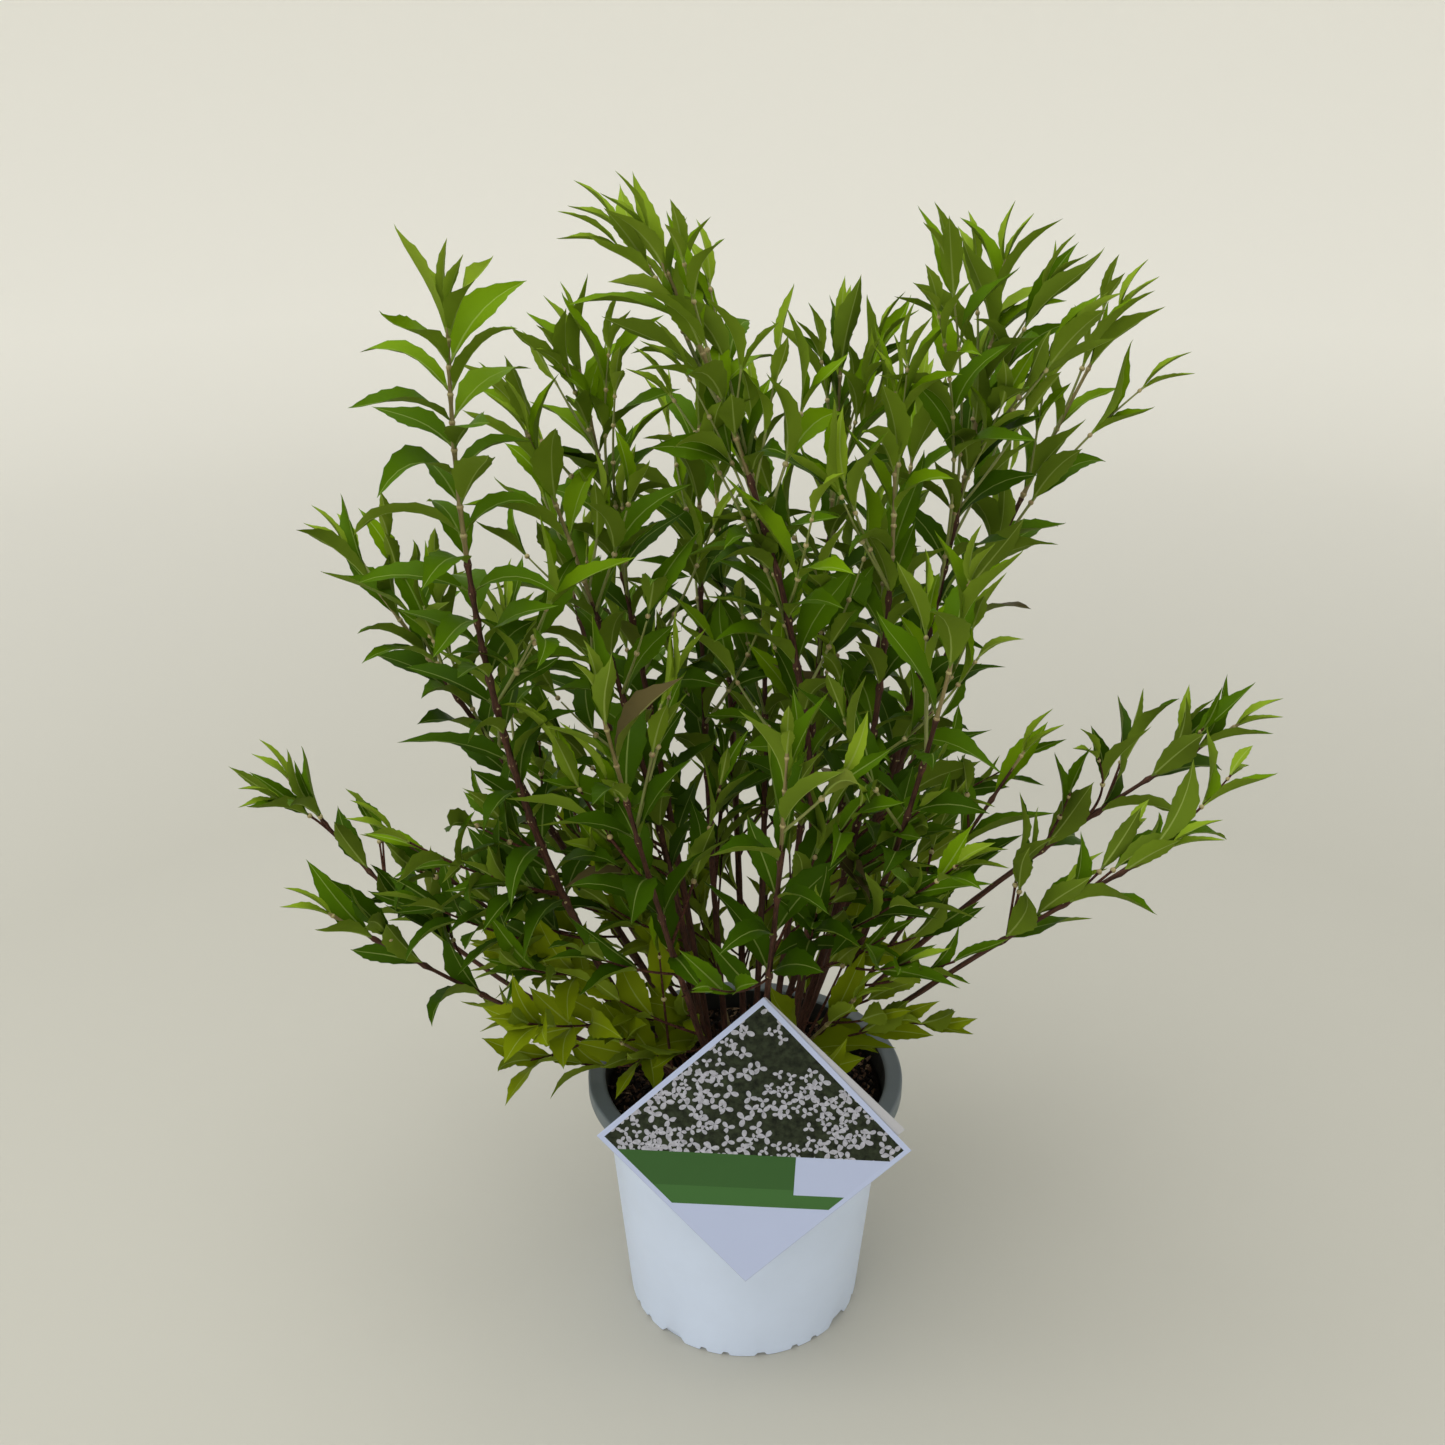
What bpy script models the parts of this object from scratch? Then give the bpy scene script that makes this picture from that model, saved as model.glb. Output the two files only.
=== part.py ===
"""A potted deutzia: arching canes from one woody crown, leafy shoots, nursery pot and picture card.

Metres, +Z up. The origin is the centre of the pot's flat underside, and the card faces -Y.
Bearings are in degrees round the pot's axis, from +X (right) through +Y (back).
"""
import math
from typing import NamedTuple

import bmesh
import bpy
import numpy as np

MM = 0.001
NEARLY_UPRIGHT = 0.05
NEARLY_STRAIGHT = 0.02
CLEARANCE = 0.3 * MM
UP = np.array([0.0, 0.0, 1.0])

# The pot, a 19 cm nursery container of about three litres.
POT_HEIGHT = 158 * MM
POT_RIM_RADIUS = 95 * MM
POT_NECK_RADIUS = 86 * MM
POT_FOOT_RADIUS = 72.5 * MM
POT_WALL = 1.6 * MM
POT_SIDES = 36
POT_TURN = 7.6
LIP_DEPTH = 9 * MM
FOOT_RING_WIDTH = 4.5 * MM
CENTRE_PAD_RADIUS = 50 * MM
DRAIN_CHANNEL_HEIGHT = 3 * MM
DRAIN_CHANNEL_RUN = 1.5 * MM

# Notches in the foot ring: turn within each quarter, width and height.
FOOT_NOTCHES = (
    (-28, 5.2 * MM, 2.2 * MM),
    (-17, 5.2 * MM, 2.2 * MM),
    (0, 7.5 * MM, 2.2 * MM),
    (17, 5.2 * MM, 2.2 * MM),
    (28, 5.2 * MM, 2.2 * MM),
    (45, 17 * MM, 4.5 * MM),
)

NOTCH_FOOT_SHARE = 0.62
NOTCH_TOP_SHARE = 0.28
NOTCH_OVERSHOOT = 0.4

# Compost and the woody crown that the canes rise from.
COMPOST_DROP = 12 * MM
COMPOST_TOP = POT_HEIGHT - COMPOST_DROP
CROWN_FOOT_RADIUS = 50.5 * MM
CROWN_RADIUS = 48 * MM
CROWN_SHOULDER = 3.6 * MM
CROWN_HEIGHT = 12 * MM
CROWN_TOP = COMPOST_TOP + CLEARANCE + CROWN_HEIGHT
CROWN_SIDES = 20
ROOT_RADIUS = 41 * MM
ROOT_GAP = 12 * MM
ROOT_REACH = 200 * MM
ROOT_ROUNDS = 300
ROOT_PUSH = 0.25

# The square card stands on one corner in front of the rim, with a smaller one behind it.
CARD_SIDE = 120 * MM
CARD_THICKNESS = 0.8 * MM
CARD_CENTRE = (3.4 * MM, -100 * MM, 181.7 * MM)
CARD_LEAN = 9.0
CARD_ROLL = 3.0
BACK_CARD_SIDE = 108 * MM
BACK_CARD_SHIFT = (4.8 * MM, 7.8 * MM)
BACK_CARD_ROLL = 0.4
STAKE_WIDTH = 16 * MM
STAKE_THICKNESS = 1.2 * MM
STAKE_SETBACK = 3 * MM
STAKE_RISE = 22 * MM
STAKE_STANDOFF = 0.75 * MM

# The room that leaves and twigs leave free round the cards.
CARD_ROOM_HALF_WIDTH = 93.6 * MM
CARD_ROOM_BACK = -84 * MM
CARD_ROOM_TOP = 275 * MM

# Leaves, shoots and the room that each keeps.
SEED = 3
LEAF_LENGTH = 60 * MM
LEAF_WIDTH = 22 * MM
LEAF_THICKNESS = 0.9 * MM
LEAF_WAIST = 0.4
LEAF_DROOP = 0.06
LEVELLING = 0.6
LEAF_OPENING = 50.0
TIP_OPENING = 22.0
TIP_SHRINK = 0.3
FACE_TURN_IN = 0.7
FACE_TURN_UP = 0.6
LEAF_TURN_SPREAD = 0.2
LEAF_SPREAD = (0.88, 1.1)
TIP_LEAF = 32 * MM
TIP_LEAF_WIDTH = 12 * MM
NODE_GAP = 46 * MM
TWIG_NODE_GAP = 37 * MM
TWIG_LENGTH = 105 * MM
TWIG_OPENING = 48.0
TOP_TWIG_OPENING = 30.0
TWIG_TAPER = 0.4
TWIG_CLEAR = 11 * MM
TWIG_RISE = 0.25
TWIG_SPREAD = (0.8, 1.15)
TWIG_TRIES = 4
TWIG_TRY_TURN = 0.4
TWIG_LOWEST_SIDE = -0.25
TWIG_LEAF_TURN = 0.8
TWIG_LEAF_SHARE = 0.85
STEM_RADIUS = 2.1 * MM
CANE_TAPER = 0.62
CANE_FLARE = 1.4
TWIG_RADIUS = 1.3 * MM
TWIG_STEM_SHARE = 0.8
TWIG_ROOT_RADIUS = 0.4 * MM
SHOOT_END_RADIUS = 0.8 * MM
STEM_OVERRUN = 2.5 * MM
SPACE_MARGIN = 2.5 * MM
LIMB_MARGIN = 4 * MM
LEAF_GAP = 7 * MM
LEAF_FLOOR = POT_HEIGHT + 4 * MM

# How a leaf that finds no room is tried again: share of its opening, share of its size.
LEAF_TRIES = ((1, 1), (0.7, 1), (1.25, 0.9), (0.5, 0.9), (0.7, 0.75))

# Rings and sides of the canes' solids.
CANE_SIDES = 6
CANE_RING_GAP = 38 * MM
PATH_STEPS = 96
COARSE_STEP = 4


class Cane(NamedTuple):
    """One cane: where it bends and where its top leaf ends, each as bearing, mm out and mm up."""

    name: str
    elbow: tuple
    tip: tuple
    foot_radius: float
    bare: float
    twigs: int
    twig_top: float = 0.9


CANES = (
    Cane("left_tall", (205, 172, 370), (215, 158, 645), 3.6, 0.28, 4, 0.55),
    Cane("left_low_back", (170, 193, 190), (170, 291, 354), 2.3, 0.38, 4),
    Cane("left_low_front", (191, 133, 205), (194, 253, 317), 2.1, 0.34, 3),
    Cane("left_low_middle", (180, 120, 240), (184, 219, 346), 2.1, 0.34, 2),
    Cane("left_upper", (175, 120, 340), (173, 236, 500), 3.2, 0.34, 5),
    Cane("left_inner", (204, 55, 400), (194, 123, 578), 3.0, 0.26, 5),
    Cane("centre_left", (171, 51, 390), (168, 97, 616), 3.2, 0.26, 5),
    Cane("centre_tall", (333, 84, 420), (219, 79, 670), 3.8, 0.30, 6, 0.95),
    Cane("centre_right", (32, 53, 390), (39, 63, 617), 3.0, 0.26, 5),
    Cane("right_inner", (347, 90, 380), (348, 70, 596), 3.4, 0.26, 5),
    Cane("right_tall", (11, 106, 370), (10, 132, 654), 3.8, 0.28, 7, 0.95),
    Cane("right_upper", (31, 115, 390), (19, 225, 622), 3.4, 0.34, 5),
    Cane("right_low_back", (13, 123, 265), (6, 307, 387), 2.7, 0.42, 4),
    Cane("right_low_front", (340, 113, 255), (344, 252, 361), 2.5, 0.38, 3),
    Cane("right_low_middle", (350, 102, 285), (355, 164, 400), 2.3, 0.30, 2),
    Cane("middle_left", (131, 46, 390), (113, 65, 585), 2.8, 0.28, 3),
    Cane("middle_back", (74, 73, 380), (90, 110, 570), 3.0, 0.28, 3),
    Cane("front_right", (326, 108, 340), (321, 135, 520), 3.0, 0.28, 4),
    Cane("front_left", (240, 104, 330), (240, 150, 480), 2.8, 0.28, 4),
    Cane("front_middle", (279, 101, 320), (276, 146, 455), 2.7, 0.28, 4),
    Cane("back_left", (135, 120, 330), (133, 191, 530), 3.2, 0.28, 4),
    Cane("back_middle", (92, 120, 330), (97, 192, 540), 3.2, 0.28, 4),
    Cane("back_right", (51, 128, 330), (54, 186, 565), 3.2, 0.28, 4),
    Cane("back_low_left", (132, 149, 220), (130, 259, 345), 2.5, 0.36, 3),
    Cane("back_low_right", (53, 150, 235), (54, 254, 365), 2.5, 0.36, 3),
)
SPRIGS = (
    Cane("sprig_left", (222, 66, 190), (218, 112, 238), 1.8, 0.0, 1),
    Cane("sprig_right", (305, 56, 205), (318, 100, 270), 1.8, 0.0, 1),
    Cane("sprig_back", (112, 60, 205), (108, 118, 255), 1.8, 0.0, 1),
)


class Shoot(NamedTuple):
    """A leafy axis: the mass it belongs to, its nodes and radii, and the turn of its first leaves."""

    mass: int
    nodes: np.ndarray
    radii: np.ndarray
    turn: float


def unit(vector):
    """Scale a vector, or each row of an array of them, to length one."""
    return vector / np.linalg.norm(vector, axis=-1, keepdims=True)


def polar(bearing, out, up):
    """Point at a bearing in degrees, and a reach and height in metres."""
    angle = math.radians(bearing)
    return np.array([out * math.cos(angle), out * math.sin(angle), up])


def spread_roots(canes):
    """Feet of the canes on the crown: towards each elbow, then pushed apart until ROOT_GAP apart."""
    feet = []
    for cane in canes:
        out = ROOT_RADIUS * math.sqrt(min(1.0, cane.elbow[1] * MM / ROOT_REACH))
        feet.append(polar(cane.elbow[0], out, 0.0)[:2])
    feet = np.array(feet)
    for _ in range(ROOT_ROUNDS):
        offset = feet[:, None] - feet[None]
        gap = np.linalg.norm(offset, axis=-1) + np.eye(len(feet))
        push = np.clip(ROOT_GAP - gap, 0.0, None) * (1 - np.eye(len(feet)))
        feet = feet + (offset / gap[..., None] * push[..., None]).sum(axis=1) * ROOT_PUSH
        reach = np.linalg.norm(feet, axis=-1, keepdims=True)
        feet = feet * np.minimum(1.0, ROOT_RADIUS / reach)
    return feet


def cane_path(foot, cane):
    """Quadratic curve from the foot, pulled towards the elbow, to the tip."""
    start = np.array([foot[0], foot[1], CROWN_TOP + CLEARANCE])
    elbow = polar(cane.elbow[0], cane.elbow[1] * MM, cane.elbow[2] * MM)
    tip = polar(cane.tip[0], cane.tip[1] * MM, cane.tip[2] * MM)
    t = np.linspace(0.0, 1.0, PATH_STEPS)[:, None]
    return (1 - t) ** 2 * start + 2 * t * (1 - t) * elbow + t**2 * tip


def path_length(path):
    """Length of a path of points."""
    return float(np.linalg.norm(np.diff(path, axis=0), axis=1).sum())


def stretch(path, start, end, count):
    """Points at equal steps along a path, from one distance to another."""
    run = np.concatenate([[0.0], np.cumsum(np.linalg.norm(np.diff(path, axis=0), axis=1))])
    wanted = np.linspace(start, end, count)
    return np.stack([np.interp(wanted, run, path[:, axis]) for axis in range(3)], axis=1)


def tangents(nodes):
    """Unit directions along a path, one for each node."""
    return unit(np.gradient(nodes, axis=0))


def side_axes(direction):
    """Two unit vectors square to a direction, the first of them level."""
    level = np.cross(direction, UP)
    if np.linalg.norm(level) < NEARLY_UPRIGHT:
        level = np.array([1.0, 0.0, 0.0])
    level = unit(level)
    return level, np.cross(level, direction)


def leaf_side(direction, turn):
    """Direction in which a leaf leaves a shoot, drawn towards the level on a leaning shoot."""
    level, rise = side_axes(direction)
    side = math.cos(turn) * level + math.sin(turn) * rise
    side[2] *= 1.0 - LEVELLING * (1.0 - direction[2] ** 2)
    return unit(side - direction * np.dot(side, direction))


def opened(direction, side, degrees):
    """Direction turned away from a shoot's own direction towards a side."""
    angle = math.radians(degrees)
    return unit(direction * math.cos(angle) + side * math.sin(angle))


def main_shoot(index, cane, path):
    """The leafy upper stretch of a cane, or the whole of a sprig."""
    length = path_length(path)
    start = cane.bare * length
    if cane.bare:
        start += CLEARANCE
    end = length - TIP_LEAF
    count = max(3, round((end - start) / NODE_GAP) + 1)
    nodes = stretch(path, start, end, count)
    radius = min(STEM_RADIUS, cane.foot_radius * MM * CANE_TAPER)
    radii = np.linspace(radius, SHOOT_END_RADIUS, count)
    return Shoot(index, nodes, radii, math.radians(cane.tip[0]) + index)


def bough_nodes(cane, path):
    """Ring centres of a cane's bare lower stretch."""
    reach = cane.bare * path_length(path)
    return stretch(path, 0.0, reach, max(4, round(reach / CANE_RING_GAP) + 1))


def side_twig(shoot, node, side, length, opening):
    """A twig that opens from a shoot's node and bends upwards as it grows."""
    heading = opened(tangents(shoot.nodes)[node], side, opening)
    count = max(3, round(length / TWIG_NODE_GAP) + 1)
    nodes = [shoot.nodes[node]]
    for _ in range(count - 1):
        nodes.append(nodes[-1] + heading * length / (count - 1))
        heading = unit(heading + TWIG_RISE * UP)
    radius = min(TWIG_RADIUS, shoot.radii[node] * TWIG_STEM_SHARE)
    radii = np.linspace(radius, SHOOT_END_RADIUS, count)
    radii[0] = TWIG_ROOT_RADIUS
    return Shoot(shoot.mass, np.array(nodes), radii, TWIG_LEAF_TURN)


def distances(points, starts, ends):
    """Distance of each point to each segment, as an array of points by segments."""
    along = ends - starts
    offset = points[:, None] - starts[None]
    share = (offset * along).sum(-1) / (along * along).sum(-1)
    share = np.clip(share, 0.0, 1.0)
    return np.linalg.norm(offset - share[..., None] * along, axis=-1)


def segments(paths, owners):
    """Starts, ends and owners of all segments of some paths."""
    starts = np.concatenate([path[:-1] for path in paths])
    ends = np.concatenate([path[1:] for path in paths])
    return starts, ends, np.repeat(owners, [len(path) - 1 for path in paths])


def clear_of_card_and_pot(points):
    """True where no point is low over the pot or in the card's space."""
    low = points[:, 2] < LEAF_FLOOR
    beside = np.abs(points[:, 0]) < CARD_ROOM_HALF_WIDTH
    by_card = beside & (points[:, 1] < CARD_ROOM_BACK) & (points[:, 2] < CARD_ROOM_TOP)
    return not (low | by_card).any()


def grow_twigs(canes, shoots, paths, rng):
    """Side twigs for every shoot in turn, kept where they stay clear of the other canes' wood."""
    limbs = list(paths)
    owners = list(range(len(paths)))
    twigs = []
    rounds = max(cane.twigs for cane in canes)
    for turn in range(rounds):
        for index, cane in enumerate(canes):
            if turn >= cane.twigs:
                continue
            shoot = shoots[index]
            share = (turn + 0.5) / cane.twigs * cane.twig_top
            node = 1 + round(share * (len(shoot.nodes) - 3))
            length = TWIG_LENGTH * (1.0 - TWIG_TAPER * share) * rng.uniform(*TWIG_SPREAD)
            opening = TWIG_OPENING + (TOP_TWIG_OPENING - TWIG_OPENING) * share
            direction = tangents(shoot.nodes)[node]
            starts, ends, owner = segments(limbs, owners)
            for step in range(TWIG_TRIES):
                turned_by = (node + step) * math.pi / 2 + step * TWIG_TRY_TURN
                side = leaf_side(direction, shoot.turn + turned_by)
                if side[2] < TWIG_LOWEST_SIDE:
                    side = -side
                twig = side_twig(shoot, node, side, length, opening)
                gap = distances(twig.nodes, starts, ends)[:, owner != index].min()
                if gap > TWIG_CLEAR and clear_of_card_and_pot(twig.nodes):
                    twigs.append(twig)
                    limbs.append(twig.nodes)
                    owners.append(index)
                    break
    return twigs


def leaf_points(root, along, face, length, width):
    """Five points of a keeled leaf: root, tip, both edges of its flat upper side, and its keel."""
    across = np.cross(face, along)
    waist = root + along * length * LEAF_WAIST
    return np.array([
        root,
        root + along * length - face * length * LEAF_DROOP,
        waist + across * width / 2,
        waist - across * width / 2,
        waist - face * LEAF_THICKNESS,
    ])


def leaf_face(along, direction, side):
    """Upper side of a leaf: turned in to its shoot, and partly up to the light."""
    face = direction - side * np.dot(along, direction) * FACE_TURN_IN + UP * FACE_TURN_UP
    return unit(face - along * np.dot(face, along))


def apart(points, leaves):
    """True where a leaf's outer half keeps LEAF_GAP from the middles of the leaves already there."""
    if not leaves:
        return True
    middles = np.array([(leaf[0] * (1 - LEAF_WAIST) + leaf[1] * LEAF_WAIST, leaf[1]) for leaf in leaves])
    test = np.concatenate([points[1:4], points[1:2] * 0.5 + points[2:4] * 0.5])
    return distances(test, middles[:, 0], middles[:, 1]).min() > LEAF_GAP


def shoot_leaves(shoot, length_share, rng, fits, others):
    """Opposite leaves at each node, each pair a quarter turn on, with an upright pair at the tip."""
    leaves = []
    directions = tangents(shoot.nodes)
    last = len(shoot.nodes) - 1
    for node in range(1, last + 1):
        share = node / last
        opening = LEAF_OPENING + (TIP_OPENING - LEAF_OPENING) * share**2
        size = length_share * (1.0 - TIP_SHRINK * share**3)
        for half_turn in (0.0, math.pi):
            turn = shoot.turn + node * math.pi / 2 + half_turn
            turn += rng.uniform(-LEAF_TURN_SPREAD, LEAF_TURN_SPREAD)
            side = leaf_side(directions[node], turn)
            wobble = rng.uniform(*LEAF_SPREAD)
            for closing, shrink in LEAF_TRIES:
                along = opened(directions[node], side, opening * closing)
                face = leaf_face(along, directions[node], side)
                length = LEAF_LENGTH * size * wobble * shrink
                width = LEAF_WIDTH * size * shrink
                points = leaf_points(shoot.nodes[node], along, face, length, width)
                if fits(points) and apart(points, leaves + others):
                    leaves.append(points)
                    break
    return leaves


def tip_leaf(shoot, tip):
    """The last leaf of a cane, which carries on to the cane's tip."""
    along = tip - shoot.nodes[-1]
    length = float(np.linalg.norm(along))
    along = unit(along)
    level, rise = side_axes(along)
    return leaf_points(shoot.nodes[-1], along, rise, length, TIP_LEAF_WIDTH)


def grow_leaves(shoots, twigs, boughs, rng):
    """Leaves of every mass, each kept only where it stays in the space nearest its own wood."""
    axes = list(shoots) + list(twigs)
    woods = [axis.nodes for axis in axes] + boughs
    owners = [axis.mass for axis in axes] + [-1] * len(boughs)
    starts, ends, owner = segments(woods, owners)
    masses = [[] for _ in shoots]
    for axis in axes:
        own = owner == axis.mass

        def fits(points):
            test = np.concatenate([points, (points[:4] + points[[1, 2, 3, 0]]) / 2])
            gap = distances(test, starts, ends)
            other = gap[:, ~own].min(axis=1)
            mine = gap[:, own].min(axis=1)
            inside = (other - mine > SPACE_MARGIN) & (other > LIMB_MARGIN)
            return inside.all() and mine[1:4].min() > LIMB_MARGIN and clear_of_card_and_pot(test)

        length_share = 1.0 if axis.radii[0] > TWIG_ROOT_RADIUS else TWIG_LEAF_SHARE
        masses[axis.mass] += shoot_leaves(axis, length_share, rng, fits, masses[axis.mass])
    return masses


def new_object(name, mesh, material):
    """Put a mesh into the scene as a named object with its material."""
    thing = bpy.data.objects.new(name, mesh)
    bpy.context.scene.collection.objects.link(thing)
    mesh.materials.clear()
    mesh.materials.append(material)
    return thing


def solid_mesh(name, points, faces):
    """Mesh of a closed solid, with its faces turned outwards."""
    mesh = bpy.data.meshes.new(name)
    mesh.from_pydata([tuple(point) for point in points], [], faces)
    shape = bmesh.new()
    shape.from_mesh(mesh)
    bmesh.ops.recalc_face_normals(shape, faces=shape.faces)
    shape.to_mesh(mesh)
    shape.free()
    return mesh


def tube(nodes, radii, sides, flat_foot=None):
    """Points and faces of a capped tube along a path; its foot may be cut level at a height."""
    directions = tangents(nodes)
    bend = np.cross(directions[0], directions[-1])
    if np.linalg.norm(bend) < NEARLY_STRAIGHT:
        bend = side_axes(directions[0])[0]
    first = unit(np.cross(unit(bend), directions))
    second = np.cross(directions, first)
    angles = np.arange(sides) * 2 * math.pi / sides
    across, along = np.cos(angles)[None, :, None], np.sin(angles)[None, :, None]
    ring = across * first[:, None] + along * second[:, None]
    points = nodes[:, None] + ring * radii[:, None, None]
    if flat_foot is not None:
        drop = (flat_foot - points[0][:, 2]) / directions[0][2]
        points[0] = points[0] + drop[:, None] * directions[0]
    faces = [tuple(range(sides)), tuple(range((len(nodes) - 1) * sides, len(nodes) * sides))]
    for row in range(len(nodes) - 1):
        for side in range(sides):
            after = (side + 1) % sides
            low, high = row * sides, (row + 1) * sides
            faces.append((low + side, low + after, high + after, high + side))
    return points.reshape(-1, 3), faces


def turned(profile, sides, swell=lambda angle: 1.0):
    """Points and faces of a solid turned round Z from a profile that starts and ends on the axis."""
    angles = [side * 2 * math.pi / sides for side in range(sides)]
    points = [(0.0, 0.0, profile[0][1])]
    for out, up in profile[1:-1]:
        points += [(out * swell(a) * math.cos(a), out * swell(a) * math.sin(a), up) for a in angles]
    points.append((0.0, 0.0, profile[-1][1]))
    faces = []
    rings = len(profile) - 2
    for side in range(sides):
        after = (side + 1) % sides
        faces.append((0, 1 + side, 1 + after))
        for ring in range(rings - 1):
            low, high = 1 + ring * sides, 1 + (ring + 1) * sides
            faces.append((low + side, low + after, high + after, high + side))
        top = 1 + (rings - 1) * sides
        faces.append((len(points) - 1, top + after, top + side))
    return points, faces


def make_material(name, colour, roughness):
    """Plain surface of one colour; nothing here is metal."""
    material = bpy.data.materials.new(name)
    material.use_nodes = True
    surface = material.node_tree.nodes["Principled BSDF"]
    surface.inputs["Base Color"].default_value = (*colour, 1.0)
    surface.inputs["Roughness"].default_value = roughness
    surface.inputs["Metallic"].default_value = 0.0
    return material


def apply_modifiers(thing):
    """Replace an object's mesh by its evaluated one."""
    evaluated = thing.evaluated_get(bpy.context.evaluated_depsgraph_get())
    mesh = bpy.data.meshes.new_from_object(evaluated)
    thing.modifiers.clear()
    thing.data = mesh


def make_pot(material):
    """Thin-walled pot with a folded lip, a raised drain channel and notches in its foot ring."""
    under_lip = POT_HEIGHT - POT_WALL
    floor_top = DRAIN_CHANNEL_HEIGHT + POT_WALL
    foot_inside = POT_FOOT_RADIUS - FOOT_RING_WIDTH
    profile = [
        (0.0, 0.0),
        (CENTRE_PAD_RADIUS, 0.0),
        (CENTRE_PAD_RADIUS + DRAIN_CHANNEL_RUN, DRAIN_CHANNEL_HEIGHT),
        (foot_inside - DRAIN_CHANNEL_RUN, DRAIN_CHANNEL_HEIGHT),
        (foot_inside, 0.0),
        (POT_FOOT_RADIUS, 0.0),
        (POT_NECK_RADIUS, under_lip),
        (POT_RIM_RADIUS - POT_WALL, under_lip),
        (POT_RIM_RADIUS - POT_WALL, POT_HEIGHT - LIP_DEPTH),
        (POT_RIM_RADIUS, POT_HEIGHT - LIP_DEPTH),
        (POT_RIM_RADIUS, POT_HEIGHT - POT_WALL / 2),
        (POT_RIM_RADIUS - POT_WALL / 2, POT_HEIGHT),
        (POT_NECK_RADIUS - POT_WALL, POT_HEIGHT),
        (POT_FOOT_RADIUS - POT_WALL, floor_top),
        (0.0, floor_top),
    ]
    points, faces = turned(profile, POT_SIDES)
    pot = new_object("pot", solid_mesh("pot", points, faces), material)
    cutters = bpy.data.collections.new("foot_notches")
    for quarter in range(4):
        for turn, width, height in FOOT_NOTCHES:
            angle = math.radians(quarter * 90 + turn + POT_TURN)
            cutters.objects.link(notch_cutter(angle, width, height))
    cut = pot.modifiers.new("foot notches", "BOOLEAN")
    cut.operation = "DIFFERENCE"
    cut.operand_type = "COLLECTION"
    cut.collection = cutters
    apply_modifiers(pot)
    for cutter in list(cutters.objects):
        bpy.data.objects.remove(cutter)
    bpy.data.collections.remove(cutters)
    return pot


def notch_cutter(angle, width, height):
    """Arch-shaped prism that lies along a radius of the pot, across its foot ring."""
    foot, top = width * NOTCH_FOOT_SHARE, width * NOTCH_TOP_SHARE
    below = -height * NOTCH_OVERSHOOT
    arch = [(-foot, below), (foot, below), (top, height), (-top, height)]
    inner = POT_FOOT_RADIUS - FOOT_RING_WIDTH / 2
    outer = POT_FOOT_RADIUS + FOOT_RING_WIDTH
    ahead = np.array([math.cos(angle), math.sin(angle), 0.0])
    aside = np.array([-math.sin(angle), math.cos(angle), 0.0])
    points = [ahead * out + aside * x + UP * z for out in (inner, outer) for x, z in arch]
    count = len(arch)
    faces = [tuple(range(count)), tuple(range(count, 2 * count))]
    faces += [(i, (i + 1) % count, (i + 1) % count + count, i + count) for i in range(count)]
    return bpy.data.objects.new("notch", solid_mesh("notch", points, faces))


def make_compost(material):
    """Compost filling the pot to just below its lip."""
    bottom = DRAIN_CHANNEL_HEIGHT + POT_WALL + CLEARANCE
    slope = (POT_NECK_RADIUS - POT_FOOT_RADIUS) / POT_HEIGHT
    inside = POT_FOOT_RADIUS - POT_WALL - CLEARANCE * 2
    profile = [
        (0.0, bottom),
        (inside + slope * bottom, bottom),
        (inside + slope * COMPOST_TOP, COMPOST_TOP),
        (0.0, COMPOST_TOP),
    ]
    points, faces = turned(profile, POT_SIDES)
    return new_object("compost", solid_mesh("compost", points, faces), material)


def make_crown(material):
    """Woody crown of uneven outline on the compost, level on top, where every cane stands."""
    base = COMPOST_TOP + CLEARANCE
    profile = [
        (0.0, base),
        (CROWN_FOOT_RADIUS, base),
        (CROWN_RADIUS, CROWN_TOP - CROWN_SHOULDER),
        (CROWN_RADIUS - CROWN_SHOULDER / 2, CROWN_TOP),
        (0.0, CROWN_TOP),
    ]

    def swell(angle):
        return 1.0 + 0.04 * math.sin(3 * angle) + 0.03 * math.sin(7 * angle + 1)

    points, faces = turned(profile, CROWN_SIDES, swell)
    return new_object("root_crown", solid_mesh("root_crown", points, faces), material)


def make_card(name, side, centre, roll, material):
    """Thin square card stood on a corner and leaning back."""
    half = side / 2
    reach = CARD_THICKNESS / 2
    corners = [(-half, -half), (half, -half), (half, half), (-half, half)]
    points = [(x, y, z) for y in (-reach, reach) for x, z in corners]
    faces = [(0, 1, 2, 3), (4, 5, 6, 7), (0, 1, 5, 4), (1, 2, 6, 5), (2, 3, 7, 6), (3, 0, 4, 7)]
    card = new_object(name, solid_mesh(name, points, faces), material)
    turn = math.radians(45 + roll)
    card.location = centre
    card.rotation_mode = "YXZ"
    card.rotation_euler = (-math.radians(CARD_LEAN), turn, 0.0)
    return card


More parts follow.
